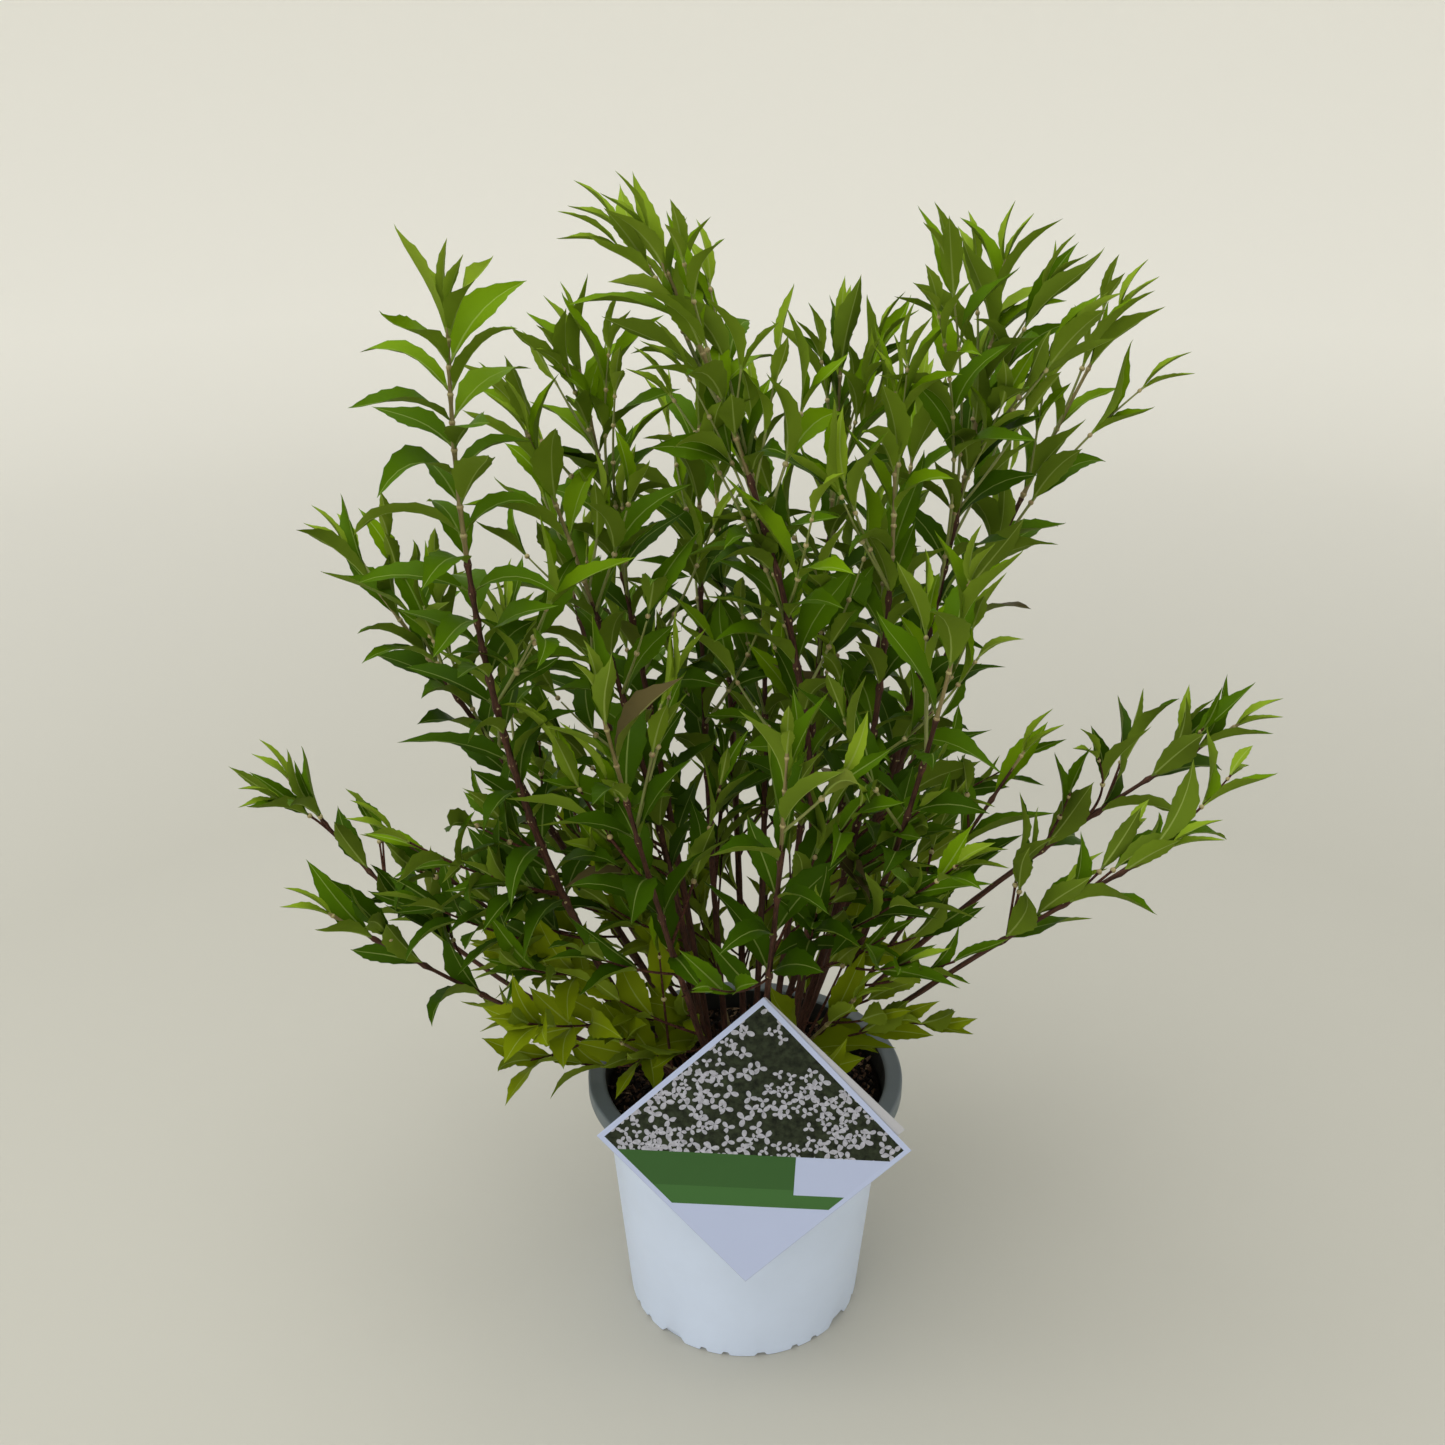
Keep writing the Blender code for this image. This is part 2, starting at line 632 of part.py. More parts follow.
def make_stake(material):
    """Bent strip behind the cards: down their back, over the rim and into the pot to the compost."""
    lean = math.tan(math.radians(CARD_LEAN))
    over = POT_HEIGHT + CLEARANCE
    top = over + STAKE_THICKNESS
    back_of_cards = CARD_CENTRE[1] + CARD_THICKNESS * 2 + STAKE_STANDOFF
    leg = -(POT_NECK_RADIUS - POT_WALL - STAKE_SETBACK)

    def behind(up):
        return back_of_cards + (up - CARD_CENTRE[2]) * lean

    upper = top + STAKE_RISE
    outline = [
        (behind(over), over),
        (leg, over),
        (leg, COMPOST_TOP + CLEARANCE),
        (leg + STAKE_THICKNESS, COMPOST_TOP + CLEARANCE),
        (leg + STAKE_THICKNESS, top - STAKE_THICKNESS),
        (leg, top),
        (behind(top) + STAKE_THICKNESS, top),
        (behind(upper) + STAKE_THICKNESS, upper),
        (behind(upper), upper),
    ]
    count = len(outline)
    points = [(x, y, z) for x in (-STAKE_WIDTH / 2, STAKE_WIDTH / 2) for y, z in outline]
    faces = [tuple(range(count)), tuple(range(count, 2 * count))]
    faces += [(i, (i + 1) % count, (i + 1) % count + count, i + count) for i in range(count)]
    return new_object("label_stake", solid_mesh("label_stake", points, faces), material)


def make_cane(cane, path, material):
    """Bare, tapering lower stretch of a cane, cut level where it stands on the crown."""
    nodes = bough_nodes(cane, path)
    tip_radius = min(STEM_RADIUS, cane.foot_radius * MM * CANE_TAPER)
    flare = np.linspace(1.0, 0.0, len(nodes)) ** CANE_FLARE
    radii = tip_radius + (cane.foot_radius * MM - tip_radius) * flare
    points, faces = tube(nodes, radii, CANE_SIDES, CROWN_TOP + CLEARANCE)
    name = "cane_" + cane.name
    return new_object(name, solid_mesh(name, points, faces), material)


def shoot_solid(shoot, flat_foot=None):
    """Three-sided tube along a shoot, run on a little so that its last leaves root inside it."""
    nodes = shoot.nodes.copy()
    nodes[-1] = nodes[-1] + unit(nodes[-1] - nodes[-2]) * STEM_OVERRUN
    return tube(nodes, shoot.radii, 3, flat_foot)


def largest_body(thing):
    """Keep only the largest connected piece of a mesh, and fill any hollow sealed inside it."""
    shape = bmesh.new()
    shape.from_mesh(thing.data)
    left = set(shape.faces)
    pieces = []
    while left:
        grown = {left.pop()}
        edge = list(grown)
        while edge:
            face = edge.pop()
            for side in face.edges:
                for other in side.link_faces:
                    if other in left:
                        left.discard(other)
                        grown.add(other)
                        edge.append(other)
        pieces.append(grown)
    keep = max(pieces, key=len)
    drop = [face for piece in pieces if piece is not keep for face in piece]
    bmesh.ops.delete(shape, geom=drop, context="FACES")
    loose = [point for point in shape.verts if not point.link_faces]
    bmesh.ops.delete(shape, geom=loose, context="VERTS")
    shape.to_mesh(thing.data)
    shape.free()


def make_foliage(name, axes, leaves, flat_foot, material):
    """One mass: its stem, with every twig and leaf fused on by a single union."""
    points, faces = shoot_solid(axes[0], flat_foot)
    mass = new_object(name, solid_mesh(name, points, faces), material)
    parts = bpy.data.collections.new(name + "_parts")
    for twig in axes[1:]:
        parts.objects.link(bpy.data.objects.new("twig", solid_mesh("twig", *shoot_solid(twig))))
    faces = [(0, 2, 3), (0, 4, 2), (0, 3, 4), (1, 3, 2), (1, 2, 4), (1, 4, 3)]
    for leaf in leaves:
        parts.objects.link(bpy.data.objects.new("leaf", solid_mesh("leaf", leaf, faces)))
    join = mass.modifiers.new("leaves and twigs", "BOOLEAN")
    join.operation = "UNION"
    join.operand_type = "COLLECTION"
    join.collection = parts
    join.solver = "MANIFOLD"
    apply_modifiers(mass)
    for part in list(parts.objects):
        bpy.data.objects.remove(part)
    bpy.data.collections.remove(parts)
    largest_body(mass)
    return mass


def plan_shrub():
    """Feet, paths, leafy shoots, twigs and leaves of the whole shrub, worked out from the sizes above."""
    rng = np.random.default_rng(SEED)
    canes = CANES + SPRIGS
    feet = spread_roots(canes)
    paths = [cane_path(foot, cane) for foot, cane in zip(feet, canes)]
    shoots = [main_shoot(index, cane, path) for index, (cane, path) in enumerate(zip(canes, paths))]
    coarse = [path[::COARSE_STEP] for path in paths]
    twigs = grow_twigs(canes, shoots, coarse, rng)
    boughs = [bough_nodes(cane, path) for cane, path in zip(canes, paths) if cane.bare]
    leaves = grow_leaves(shoots, twigs, boughs, rng)
    for index, (shoot, path) in enumerate(zip(shoots, paths)):
        leaves[index].append(tip_leaf(shoot, path[-1]))
    return canes, paths, shoots, twigs, leaves


def main():
    """Clear the scene and build every node."""
    for thing in list(bpy.data.objects):
        bpy.data.objects.remove(thing)
    pot_plastic = make_material("pot_plastic", (0.70, 0.73, 0.80), 0.4)
    compost = make_material("compost", (0.018, 0.013, 0.010), 0.95)
    card_front = make_material("card_front", (0.30, 0.36, 0.30), 0.35)
    card_back = make_material("card_back", (0.55, 0.55, 0.60), 0.5)
    stake_plastic = make_material("stake_plastic", (0.75, 0.75, 0.78), 0.45)
    bark = make_material("bark", (0.10, 0.045, 0.030), 0.75)
    foliage = make_material("foliage", (0.09, 0.20, 0.025), 0.5)

    make_pot(pot_plastic)
    make_compost(compost)
    make_crown(bark)
    lean = math.radians(CARD_LEAN)
    behind = CARD_THICKNESS + CLEARANCE
    back_centre = (
        CARD_CENTRE[0] + BACK_CARD_SHIFT[0],
        CARD_CENTRE[1] + behind / math.cos(lean) + BACK_CARD_SHIFT[1] * math.tan(lean),
        CARD_CENTRE[2] + BACK_CARD_SHIFT[1],
    )
    make_card("label_front", CARD_SIDE, CARD_CENTRE, CARD_ROLL, card_front)
    make_card("label_back", BACK_CARD_SIDE, back_centre, BACK_CARD_ROLL, card_back)
    make_stake(stake_plastic)

    canes, paths, shoots, twigs, leaves = plan_shrub()
    for index, (cane, path) in enumerate(zip(canes, paths)):
        flat_foot = CROWN_TOP + CLEARANCE
        if cane.bare:
            make_cane(cane, path, bark)
            flat_foot = None
        axes = [shoots[index]] + [twig for twig in twigs if twig.mass == index]
        name = cane.name if not cane.bare else "foliage_" + cane.name
        make_foliage(name, axes, leaves[index], flat_foot, foliage)


if __name__ == "__main__":
    main()
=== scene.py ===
"""Looks of a potted deutzia: leaves, shoots, bark, crown, compost, pot, picture card and stage.

Metres, +Z up. The canes with their bends and tips, and the rule by which shoots, twigs and leaves
grow, are those of the solids; here they are carried on to true leaf size and finer twigs, within the
same reach. The file is laid out as an add-on and is run as a script. Every new piece is a surface
worked out with numpy as whole arrays.
"""
import functools
import itertools
import math
from typing import NamedTuple

import bpy
import numpy as np
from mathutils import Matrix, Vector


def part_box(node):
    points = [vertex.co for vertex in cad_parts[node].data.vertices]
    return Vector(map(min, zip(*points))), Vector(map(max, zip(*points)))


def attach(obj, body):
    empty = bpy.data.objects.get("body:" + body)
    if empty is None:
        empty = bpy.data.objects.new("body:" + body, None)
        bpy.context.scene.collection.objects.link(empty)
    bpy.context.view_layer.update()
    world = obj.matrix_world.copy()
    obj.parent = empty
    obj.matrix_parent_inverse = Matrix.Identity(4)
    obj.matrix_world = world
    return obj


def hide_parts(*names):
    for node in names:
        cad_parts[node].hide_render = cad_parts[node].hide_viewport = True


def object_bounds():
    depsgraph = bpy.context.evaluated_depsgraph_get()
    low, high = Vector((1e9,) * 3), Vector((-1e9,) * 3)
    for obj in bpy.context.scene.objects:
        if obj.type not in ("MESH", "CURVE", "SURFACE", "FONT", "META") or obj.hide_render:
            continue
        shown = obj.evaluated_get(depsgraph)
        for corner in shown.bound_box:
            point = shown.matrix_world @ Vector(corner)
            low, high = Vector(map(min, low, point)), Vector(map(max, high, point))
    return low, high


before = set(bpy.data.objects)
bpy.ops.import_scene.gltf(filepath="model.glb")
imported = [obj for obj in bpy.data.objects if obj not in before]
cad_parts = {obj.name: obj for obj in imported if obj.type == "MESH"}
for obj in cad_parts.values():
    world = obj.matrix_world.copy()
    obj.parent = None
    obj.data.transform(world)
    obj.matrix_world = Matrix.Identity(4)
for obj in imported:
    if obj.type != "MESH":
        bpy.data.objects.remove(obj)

bl_info = {
    "name": "Potted Deutzia",
    "version": (1, 0, 0),
    "blender": (4, 5, 0),
    "location": "3D View > Sidebar > Deutzia",
    "description": "Leaves, bark, pot, card and stage of a potted deutzia",
    "category": "Add Mesh",
}

MM = 0.001
UP = np.array([0.0, 0.0, 1.0])
NEARLY_UPRIGHT = 0.05
BODY = "root"

# The solids' own boxes give the places of pot, compost, crown and cards.
SHRUB_LOW, SHRUB_HIGH = np.array(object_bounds())
POT_HIGH = np.array(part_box("pot")[1])
COMPOST_LOW, COMPOST_HIGH = np.array(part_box("compost"))
CROWN_LOW, CROWN_HIGH = np.array(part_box("root_crown"))
FRONT_CARD_CENTRE = np.array(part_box("label_front")).mean(axis=0)
BACK_CARD_CENTRE = np.array(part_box("label_back")).mean(axis=0)
POT_HEIGHT = POT_HIGH[2]
COMPOST_TOP = COMPOST_HIGH[2]
CROWN_TOP = CROWN_HIGH[2]
CLEARANCE = CROWN_LOW[2] - COMPOST_TOP

# How the canes stand on the crown.
ROOT_RADIUS = 41 * MM
ROOT_GAP = 12 * MM
ROOT_REACH = 200 * MM
ROOT_ROUNDS = 300
ROOT_PUSH = 0.25

# The rule for shoots and twigs, with the solids' own values.
TIP_LEAF = 32 * MM
NODE_GAP = 46 * MM
TWIG_NODE_GAP = 37 * MM
TWIG_LENGTH = 105 * MM
TWIG_OPENING = 48.0
TOP_TWIG_OPENING = 30.0
TWIG_TAPER = 0.4
TWIG_FIRST_TURN = 0.8
TWIG_CLEAR = 11 * MM
TWIG_RISE = 0.25
TWIG_SPREAD = (0.8, 1.15)
TWIG_TRIES = 4
TWIG_TRY_TURN = 0.4
TWIG_LOWEST_SIDE = -0.25
LEVELLING = 0.6
STEM_RADIUS = 2.1 * MM
CANE_TAPER = 0.62
CANE_FLARE = 1.4
SHOOT_END_RADIUS = 0.8 * MM
PATH_STEPS = 96
COARSE_STEP = 4

# The room that leaves and twigs leave free over the pot and round the cards.
LEAF_FLOOR = POT_HEIGHT + 4 * MM
CARD_ROOM_HALF_WIDTH = 93.6 * MM
CARD_ROOM_BACK = -84 * MM
CARD_ROOM_TOP = 275 * MM
CARD_VIEW_FRONT = -110 * MM
CARD_VIEW_SLOPE = 0.73
RIM_ROOM = 3 * MM
LOWEST_LEAF = 118 * MM


class Cane(NamedTuple):
    """One cane: where it bends and where its top leaf ends, each as bearing, mm out and mm up."""

    name: str
    elbow: tuple
    tip: tuple
    foot_radius: float
    bare: float
    twigs: int
    twig_top: float = 0.9


CANES = (
    Cane("left_tall", (205, 172, 370), (215, 158, 645), 3.6, 0.28, 4, 0.55),
    Cane("left_low_back", (170, 193, 190), (170, 291, 354), 2.3, 0.38, 4),
    Cane("left_low_front", (191, 133, 205), (194, 253, 317), 2.1, 0.34, 3),
    Cane("left_low_middle", (180, 120, 240), (184, 219, 346), 2.1, 0.34, 2),
    Cane("left_upper", (175, 120, 340), (173, 236, 500), 3.2, 0.34, 5),
    Cane("left_inner", (204, 55, 400), (194, 123, 578), 3.0, 0.26, 5),
    Cane("centre_left", (171, 51, 390), (168, 97, 616), 3.2, 0.26, 5),
    Cane("centre_tall", (333, 84, 420), (219, 79, 670), 3.8, 0.30, 6, 0.95),
    Cane("centre_right", (32, 53, 390), (39, 63, 617), 3.0, 0.26, 5),
    Cane("right_inner", (347, 90, 380), (348, 70, 596), 3.4, 0.26, 5),
    Cane("right_tall", (11, 106, 370), (10, 132, 654), 3.8, 0.28, 7, 0.95),
    Cane("right_upper", (31, 115, 390), (19, 225, 622), 3.4, 0.34, 5),
    Cane("right_low_back", (13, 123, 265), (6, 307, 387), 2.7, 0.42, 4),
    Cane("right_low_front", (340, 113, 255), (344, 252, 361), 2.5, 0.38, 3),
    Cane("right_low_middle", (350, 102, 285), (355, 164, 400), 2.3, 0.30, 2),
    Cane("middle_left", (131, 46, 390), (113, 65, 585), 2.8, 0.28, 3),
    Cane("middle_back", (74, 73, 380), (90, 110, 570), 3.0, 0.28, 3),
    Cane("front_right", (326, 108, 340), (321, 135, 520), 3.0, 0.28, 4),
    Cane("front_left", (240, 104, 330), (240, 150, 480), 2.8, 0.28, 4),
    Cane("front_middle", (279, 101, 320), (276, 146, 455), 2.7, 0.28, 4),
    Cane("back_left", (135, 120, 330), (133, 191, 530), 3.2, 0.28, 4),
    Cane("back_middle", (92, 120, 330), (97, 192, 540), 3.2, 0.28, 4),
    Cane("back_right", (51, 128, 330), (54, 186, 565), 3.2, 0.28, 4),
    Cane("back_low_left", (132, 149, 220), (130, 259, 345), 2.5, 0.36, 3),
    Cane("back_low_right", (53, 150, 235), (54, 254, 365), 2.5, 0.36, 3),
)
SPRIGS = (
    Cane("sprig_left", (222, 66, 190), (218, 112, 238), 1.8, 0.0, 1),
    Cane("sprig_right", (305, 56, 205), (318, 100, 270), 1.8, 0.0, 1),
    Cane("sprig_back", (112, 60, 205), (108, 118, 255), 1.8, 0.0, 1),
)
LIMBS = CANES + SPRIGS
CANE_NODES = ["cane_" + cane.name for cane in CANES]
LEAFY_NODES = ["foliage_" + cane.name for cane in CANES] + [cane.name for cane in SPRIGS]


def measure(name, description, default, unit="LENGTH"):
    """A property that holds a number with a unit, which is a length unless another is named."""
    return bpy.props.FloatProperty(name=name, description=description, default=default, unit=unit)


def colour(name, description, *default):
    """A property that holds a colour."""
    return bpy.props.FloatVectorProperty(
        name=name, description=description, default=default, size=3, subtype="COLOR")


class ShrubSettings(bpy.types.PropertyGroup):
    """Sizes and colours of the plant."""

    seed: bpy.props.IntProperty(
        name="Seed", description="Start of the random draws, the same as the solids'", default=3, min=0)
    leaf_length: measure("Leaf length", "Length of a grown leaf", 56 * MM)
    leaf_width: measure("Leaf width", "Width of a grown leaf as a share of its length", 0.30, "NONE")
    leaf_thickness: measure("Leaf thickness", "Thickness at the midrib", 0.5 * MM)
    low_gap: measure("Lower node gap", "Between pairs of leaves low on a shoot", 31 * MM)
    top_gap: measure("Upper node gap", "Between pairs of leaves near a tip", 18.5 * MM)
    # The young, fresh, grown and deep greens are dealt out partly by age and partly by a painted light, so
    # they are partly painted light and shade: lighter high on the shrub, darker low and inside it.
    young: colour("Young leaves", "Pairs at the very tips", 0.220, 0.325, 0.018)
    fresh: colour("Fresh leaves", "Leaves just below the tips", 0.130, 0.232, 0.002)
    grown: colour("Grown leaves", "Most of the leaves", 0.064, 0.134, 0.0015)
    # Deep green is partly the darker green of old leaves and partly painted shade for leaves low and inside
    # the shrub.
    deep: colour("Deep green leaves", "Old leaves inside the shrub", 0.034, 0.078, 0.001)
    low: colour("Low leaves", "Yellowing leaves near the compost", 0.160, 0.212, 0.003)
    bronze: colour("Bronze leaves", "The few purplish ones", 0.10, 0.080, 0.030)
    underside: colour("Underside", "Greyer green below every leaf", 0.158, 0.225, 0.020)
    midrib: colour("Midrib", "Pale stalks and midribs", 0.36, 0.44, 0.12)
    bark_dark: colour("Dark bark", "Shaded furrows of the canes", 0.018, 0.007, 0.005)
    bark_light: colour("Light bark", "Raised strips of the canes", 0.105, 0.040, 0.024)
    bark_worn: colour("Worn bark", "Patches where the strips are rubbed", 0.12, 0.066, 0.042)
    stem: colour("Young stem", "Tan green upper shoots", 0.26, 0.22, 0.075)
    stem_grain: colour("Young stem's grain", "Brown lines of the upper shoots", 0.17, 0.10, 0.05)
    twig: colour("Green twig", "Twigs high on the shrub", 0.22, 0.28, 0.06)
    twig_grain: colour("Green twig's grain", "Brown lines of the green twigs", 0.20, 0.14, 0.06)
    collar: colour("Node collar", "Pale collars where leaves stand", 0.47, 0.43, 0.19)
    collar_spot: colour("Node collar's spots", "Darker spots of the collars", 0.30, 0.20, 0.09)
    crown_light: colour("Crown bark", "Raised bark of the old stubs", 0.060, 0.028, 0.017)
    crown_dark: colour("Crown furrows", "Furrows of the old stubs", 0.012, 0.006, 0.004)


class PotSettings(bpy.types.PropertyGroup):
    """Sizes and colours of the pot and its compost."""

    lip_depth: measure("Lip depth", "Height of the folded lip", 9 * MM)
    wall: measure("Wall", "Thickness of the pot's wall", 1.6 * MM)
    outside: colour("Outside", "Bluish white wall", 0.70, 0.80, 1.0)
    inside: colour("Inside and lip", "Grey lip and inner wall", 0.13, 0.16, 0.18)
    # This near-black colour is painted shade. It covers the inner wall from the rim's inner bend down to the
    # compost and the pot's floor, where shade falls inside the pot.
    painted_shade: colour("Painted shade wall", "Inner wall under a film of compost", 0.012, 0.012, 0.010)
    compost_dark: colour("Dark compost", "Damp crumbs", 0.0035, 0.003, 0.0026)
    compost_light: colour("Light compost", "Drier crumbs", 0.022, 0.014, 0.010)
    chip: colour("Chips", "Slivers of bark and wood", 0.14, 0.075, 0.042)
    chip_pale: colour("Pale chips", "The few fresh slivers of wood", 0.34, 0.24, 0.15)


class CardSettings(bpy.types.PropertyGroup):
    """Sizes and colours of the cards."""

    side: measure("Side", "Side of the front card", 120 * MM)
    lean: measure("Lean", "How far the cards lean back", math.radians(9), "ROTATION")
    roll: measure("Roll", "Turn of the front card's print from level", math.radians(3), "ROTATION")
    paper: colour("Paper", "Border and lower corner", 0.47, 0.53, 0.73)
    field: colour("Picture ground", "Dark green ground of the picture", 0.003, 0.004, 0.002)
    motif: colour("Motifs", "Pale trefoils of the picture", 0.50, 0.50, 0.57)
    band: colour("Band", "Green band under the picture", 0.040, 0.108, 0.028)
    back: colour("Back card", "Plain grey card", 0.47, 0.47, 0.50)
    strip: colour("Strip", "White strip that holds the cards", 0.72, 0.73, 0.78)


class StageSettings(bpy.types.PropertyGroup):
    """Floor, light and camera."""

    floor: colour("Floor", "Pale warm floor", 0.50, 0.49, 0.43)
    # The floor is painted from the floor colour toward this paler one out to its rim. This is painted light,
    # as if the raised rim were more lit than the floor round the pot.
    wall: colour("Wall", "Paler colour of the floor's raised rim", 0.90, 0.885, 0.82)
    sky: colour("Sky", "Even light from all round", 1.0, 1.0, 0.985)
    sky_strength: measure("Sky strength", "Brightness of the even light", 0.72, "NONE")
    key_power: measure("Key light", "Power of the large lamp overhead", 38.0, "POWER")
    fill_power: measure("Fill light", "Power of the lamp in front", 9.0, "POWER")
    camera_height: measure("Camera height", "Height over the floor", 0.692)
    camera_distance: measure("Camera distance", "Distance in front of the pot's axis", 0.730)
    camera_aside: measure("Camera aside", "Place to the right of the pot's axis", -0.0137)
    camera_pitch: measure("Camera pitch", "How far the camera looks down", math.radians(22.8), "ROTATION")


def unit(vector):
    """Scale a vector, or each row of an array of them, to length one."""
    return vector / np.linalg.norm(vector, axis=-1, keepdims=True)


def polar(bearing, out, up):
    """Point at a bearing in degrees, and a reach and height in metres."""
    angle = math.radians(bearing)
    return np.array([out * math.cos(angle), out * math.sin(angle), up])


def spread_roots(canes):
    """Feet of the canes on the crown: towards each elbow, then pushed apart until ROOT_GAP apart."""
    feet = []
    for cane in canes:
        out = ROOT_RADIUS * math.sqrt(min(1.0, cane.elbow[1] * MM / ROOT_REACH))
        feet.append(polar(cane.elbow[0], out, 0.0)[:2])
    feet = np.array(feet)
    for _ in range(ROOT_ROUNDS):
        offset = feet[:, None] - feet[None]
        gap = np.linalg.norm(offset, axis=-1) + np.eye(len(feet))
        push = np.clip(ROOT_GAP - gap, 0.0, None) * (1 - np.eye(len(feet)))
        feet = feet + (offset / gap[..., None] * push[..., None]).sum(axis=1) * ROOT_PUSH
        reach = np.linalg.norm(feet, axis=-1, keepdims=True)
        feet = feet * np.minimum(1.0, ROOT_RADIUS / reach)
    return feet


def quadratic(start, elbow, tip):
    """Points (1 - t)^2 start + 2 t (1 - t) elbow + t^2 tip, for t from 0 to 1."""
    t = np.linspace(0.0, 1.0, PATH_STEPS)[:, None]
    return (1 - t) ** 2 * start + 2 * t * (1 - t) * elbow + t**2 * tip


def spot(place):
    """Point at a place given as bearing, mm out and mm up."""
    bearing, out, up = place
    return polar(bearing, out * MM, up * MM)


def cane_path(foot, cane):
    """Quadratic curve from the foot, pulled towards the elbow, to the tip."""
    return quadratic(np.array([foot[0], foot[1], CROWN_TOP + CLEARANCE]), spot(cane.elbow), spot(cane.tip))


def distance_along(path):
    """Distance from a path's start to each of its points."""
    return np.concatenate([[0.0], np.cumsum(np.linalg.norm(np.diff(path, axis=0), axis=1))])


def at(path, wanted):
    """Points of a path at some distances from its start."""
    run = distance_along(path)
    return np.stack([np.interp(wanted, run, path[:, axis]) for axis in range(3)], axis=1)


def tangents(nodes):
    """Unit directions along a path, one for each node."""
    return unit(np.gradient(nodes, axis=0))


def side_axes(direction):
    """Two unit vectors square to a direction, the first of them level."""
    level = np.cross(direction, UP)
    if np.linalg.norm(level) < NEARLY_UPRIGHT:
        level = np.array([1.0, 0.0, 0.0])
    level = unit(level)
    return level, np.cross(level, direction)


def leaf_side(direction, turn):
    """Direction in which a leaf leaves a shoot, drawn towards the level on a leaning shoot."""
    level, rise = side_axes(direction)
    side = math.cos(turn) * level + math.sin(turn) * rise
    side[2] *= 1.0 - LEVELLING * (1.0 - direction[2] ** 2)
    return unit(side - direction * np.dot(side, direction))


def opened(direction, side, degrees):
    """Direction turned away from a shoot's own direction towards a side."""
    angle = math.radians(degrees)
    return unit(direction * math.cos(angle) + side * math.sin(angle))


class Shoot(NamedTuple):
    """A leafy axis: the mass it belongs to, its nodes, its first turn and its rank."""

    mass: int
    nodes: np.ndarray
    turn: float
    rank: int


def main_shoot(index, cane, path):
    """The leafy upper stretch of a cane, or the whole of a sprig."""
    length = distance_along(path)[-1]
    start = cane.bare * length
    if cane.bare:
        start += CLEARANCE
    end = length - TIP_LEAF
    count = max(3, round((end - start) / NODE_GAP) + 1)
    return Shoot(index, at(path, np.linspace(start, end, count)), math.radians(cane.tip[0]) + index, 0)


def bending_up(site, heading, length, steps, rise):
    """Nodes of a shoot of some steps that turns upwards a little at each."""
    nodes = [site]
    for _ in range(steps):
        nodes.append(nodes[-1] + heading * length / steps)
        heading = unit(heading + rise * UP)
    return np.array(nodes)


def side_twig(shoot, node, side, length, opening):
    """A twig that opens from a shoot's node and bends upwards as it grows."""
    heading = opened(tangents(shoot.nodes)[node], side, opening)
    steps = max(3, round(length / TWIG_NODE_GAP) + 1) - 1
    nodes = bending_up(shoot.nodes[node], heading, length, steps, TWIG_RISE)
    return Shoot(shoot.mass, nodes, TWIG_FIRST_TURN, 1)


def distances(points, starts, ends):
    """Distance of each point to each segment, as an array of points by segments."""
    along = ends - starts
    offset = points[:, None] - starts[None]
    share = (offset * along).sum(-1) / (along * along).sum(-1)
    share = np.clip(share, 0.0, 1.0)
    return np.linalg.norm(offset - share[..., None] * along, axis=-1)


def segments(paths, owners):
    """Starts, ends and owners of all segments of some paths."""
    starts = np.concatenate([path[:-1] for path in paths])
    ends = np.concatenate([path[1:] for path in paths])
    return starts, ends, np.repeat(owners, [len(path) - 1 for path in paths])


def by_card(points, card_top):
    """True for each point in front of the cards or between them, below a height."""
    beside = np.abs(points[:, 0]) < CARD_ROOM_HALF_WIDTH
    return beside & (points[:, 1] < CARD_ROOM_BACK) & (points[:, 2] < card_top)


def clear_of_card_and_pot(points):
    """True where no point is low over the pot or in the card's space."""
    return not ((points[:, 2] < LEAF_FLOOR) | by_card(points, CARD_ROOM_TOP)).any()


def grow_twigs(canes, shoots, paths, rng):
    """Side twigs for every shoot in turn, kept where they stay clear of the other canes' wood."""
    limbs = list(paths)
    owners = list(range(len(paths)))
    twigs = []
    rounds = max(cane.twigs for cane in canes)
    for turn in range(rounds):
        for index, cane in enumerate(canes):
            if turn >= cane.twigs:
                continue
            shoot = shoots[index]
            share = (turn + 0.5) / cane.twigs * cane.twig_top
            node = 1 + round(share * (len(shoot.nodes) - 3))
            length = TWIG_LENGTH * (1.0 - TWIG_TAPER * share) * rng.uniform(*TWIG_SPREAD)
            opening = TWIG_OPENING + (TOP_TWIG_OPENING - TWIG_OPENING) * share
            direction = tangents(shoot.nodes)[node]
            starts, ends, owner = segments(limbs, owners)
            for step in range(TWIG_TRIES):
                turned_by = (node + step) * math.pi / 2 + step * TWIG_TRY_TURN
                side = leaf_side(direction, shoot.turn + turned_by)
                if side[2] < TWIG_LOWEST_SIDE:
                    side = -side
                twig = side_twig(shoot, node, side, length, opening)
                gap = distances(twig.nodes, starts, ends)[:, owner != index].min()
                if gap > TWIG_CLEAR and clear_of_card_and_pot(twig.nodes):
                    twigs.append(twig)
                    limbs.append(twig.nodes)
                    owners.append(index)
                    break
    return twigs


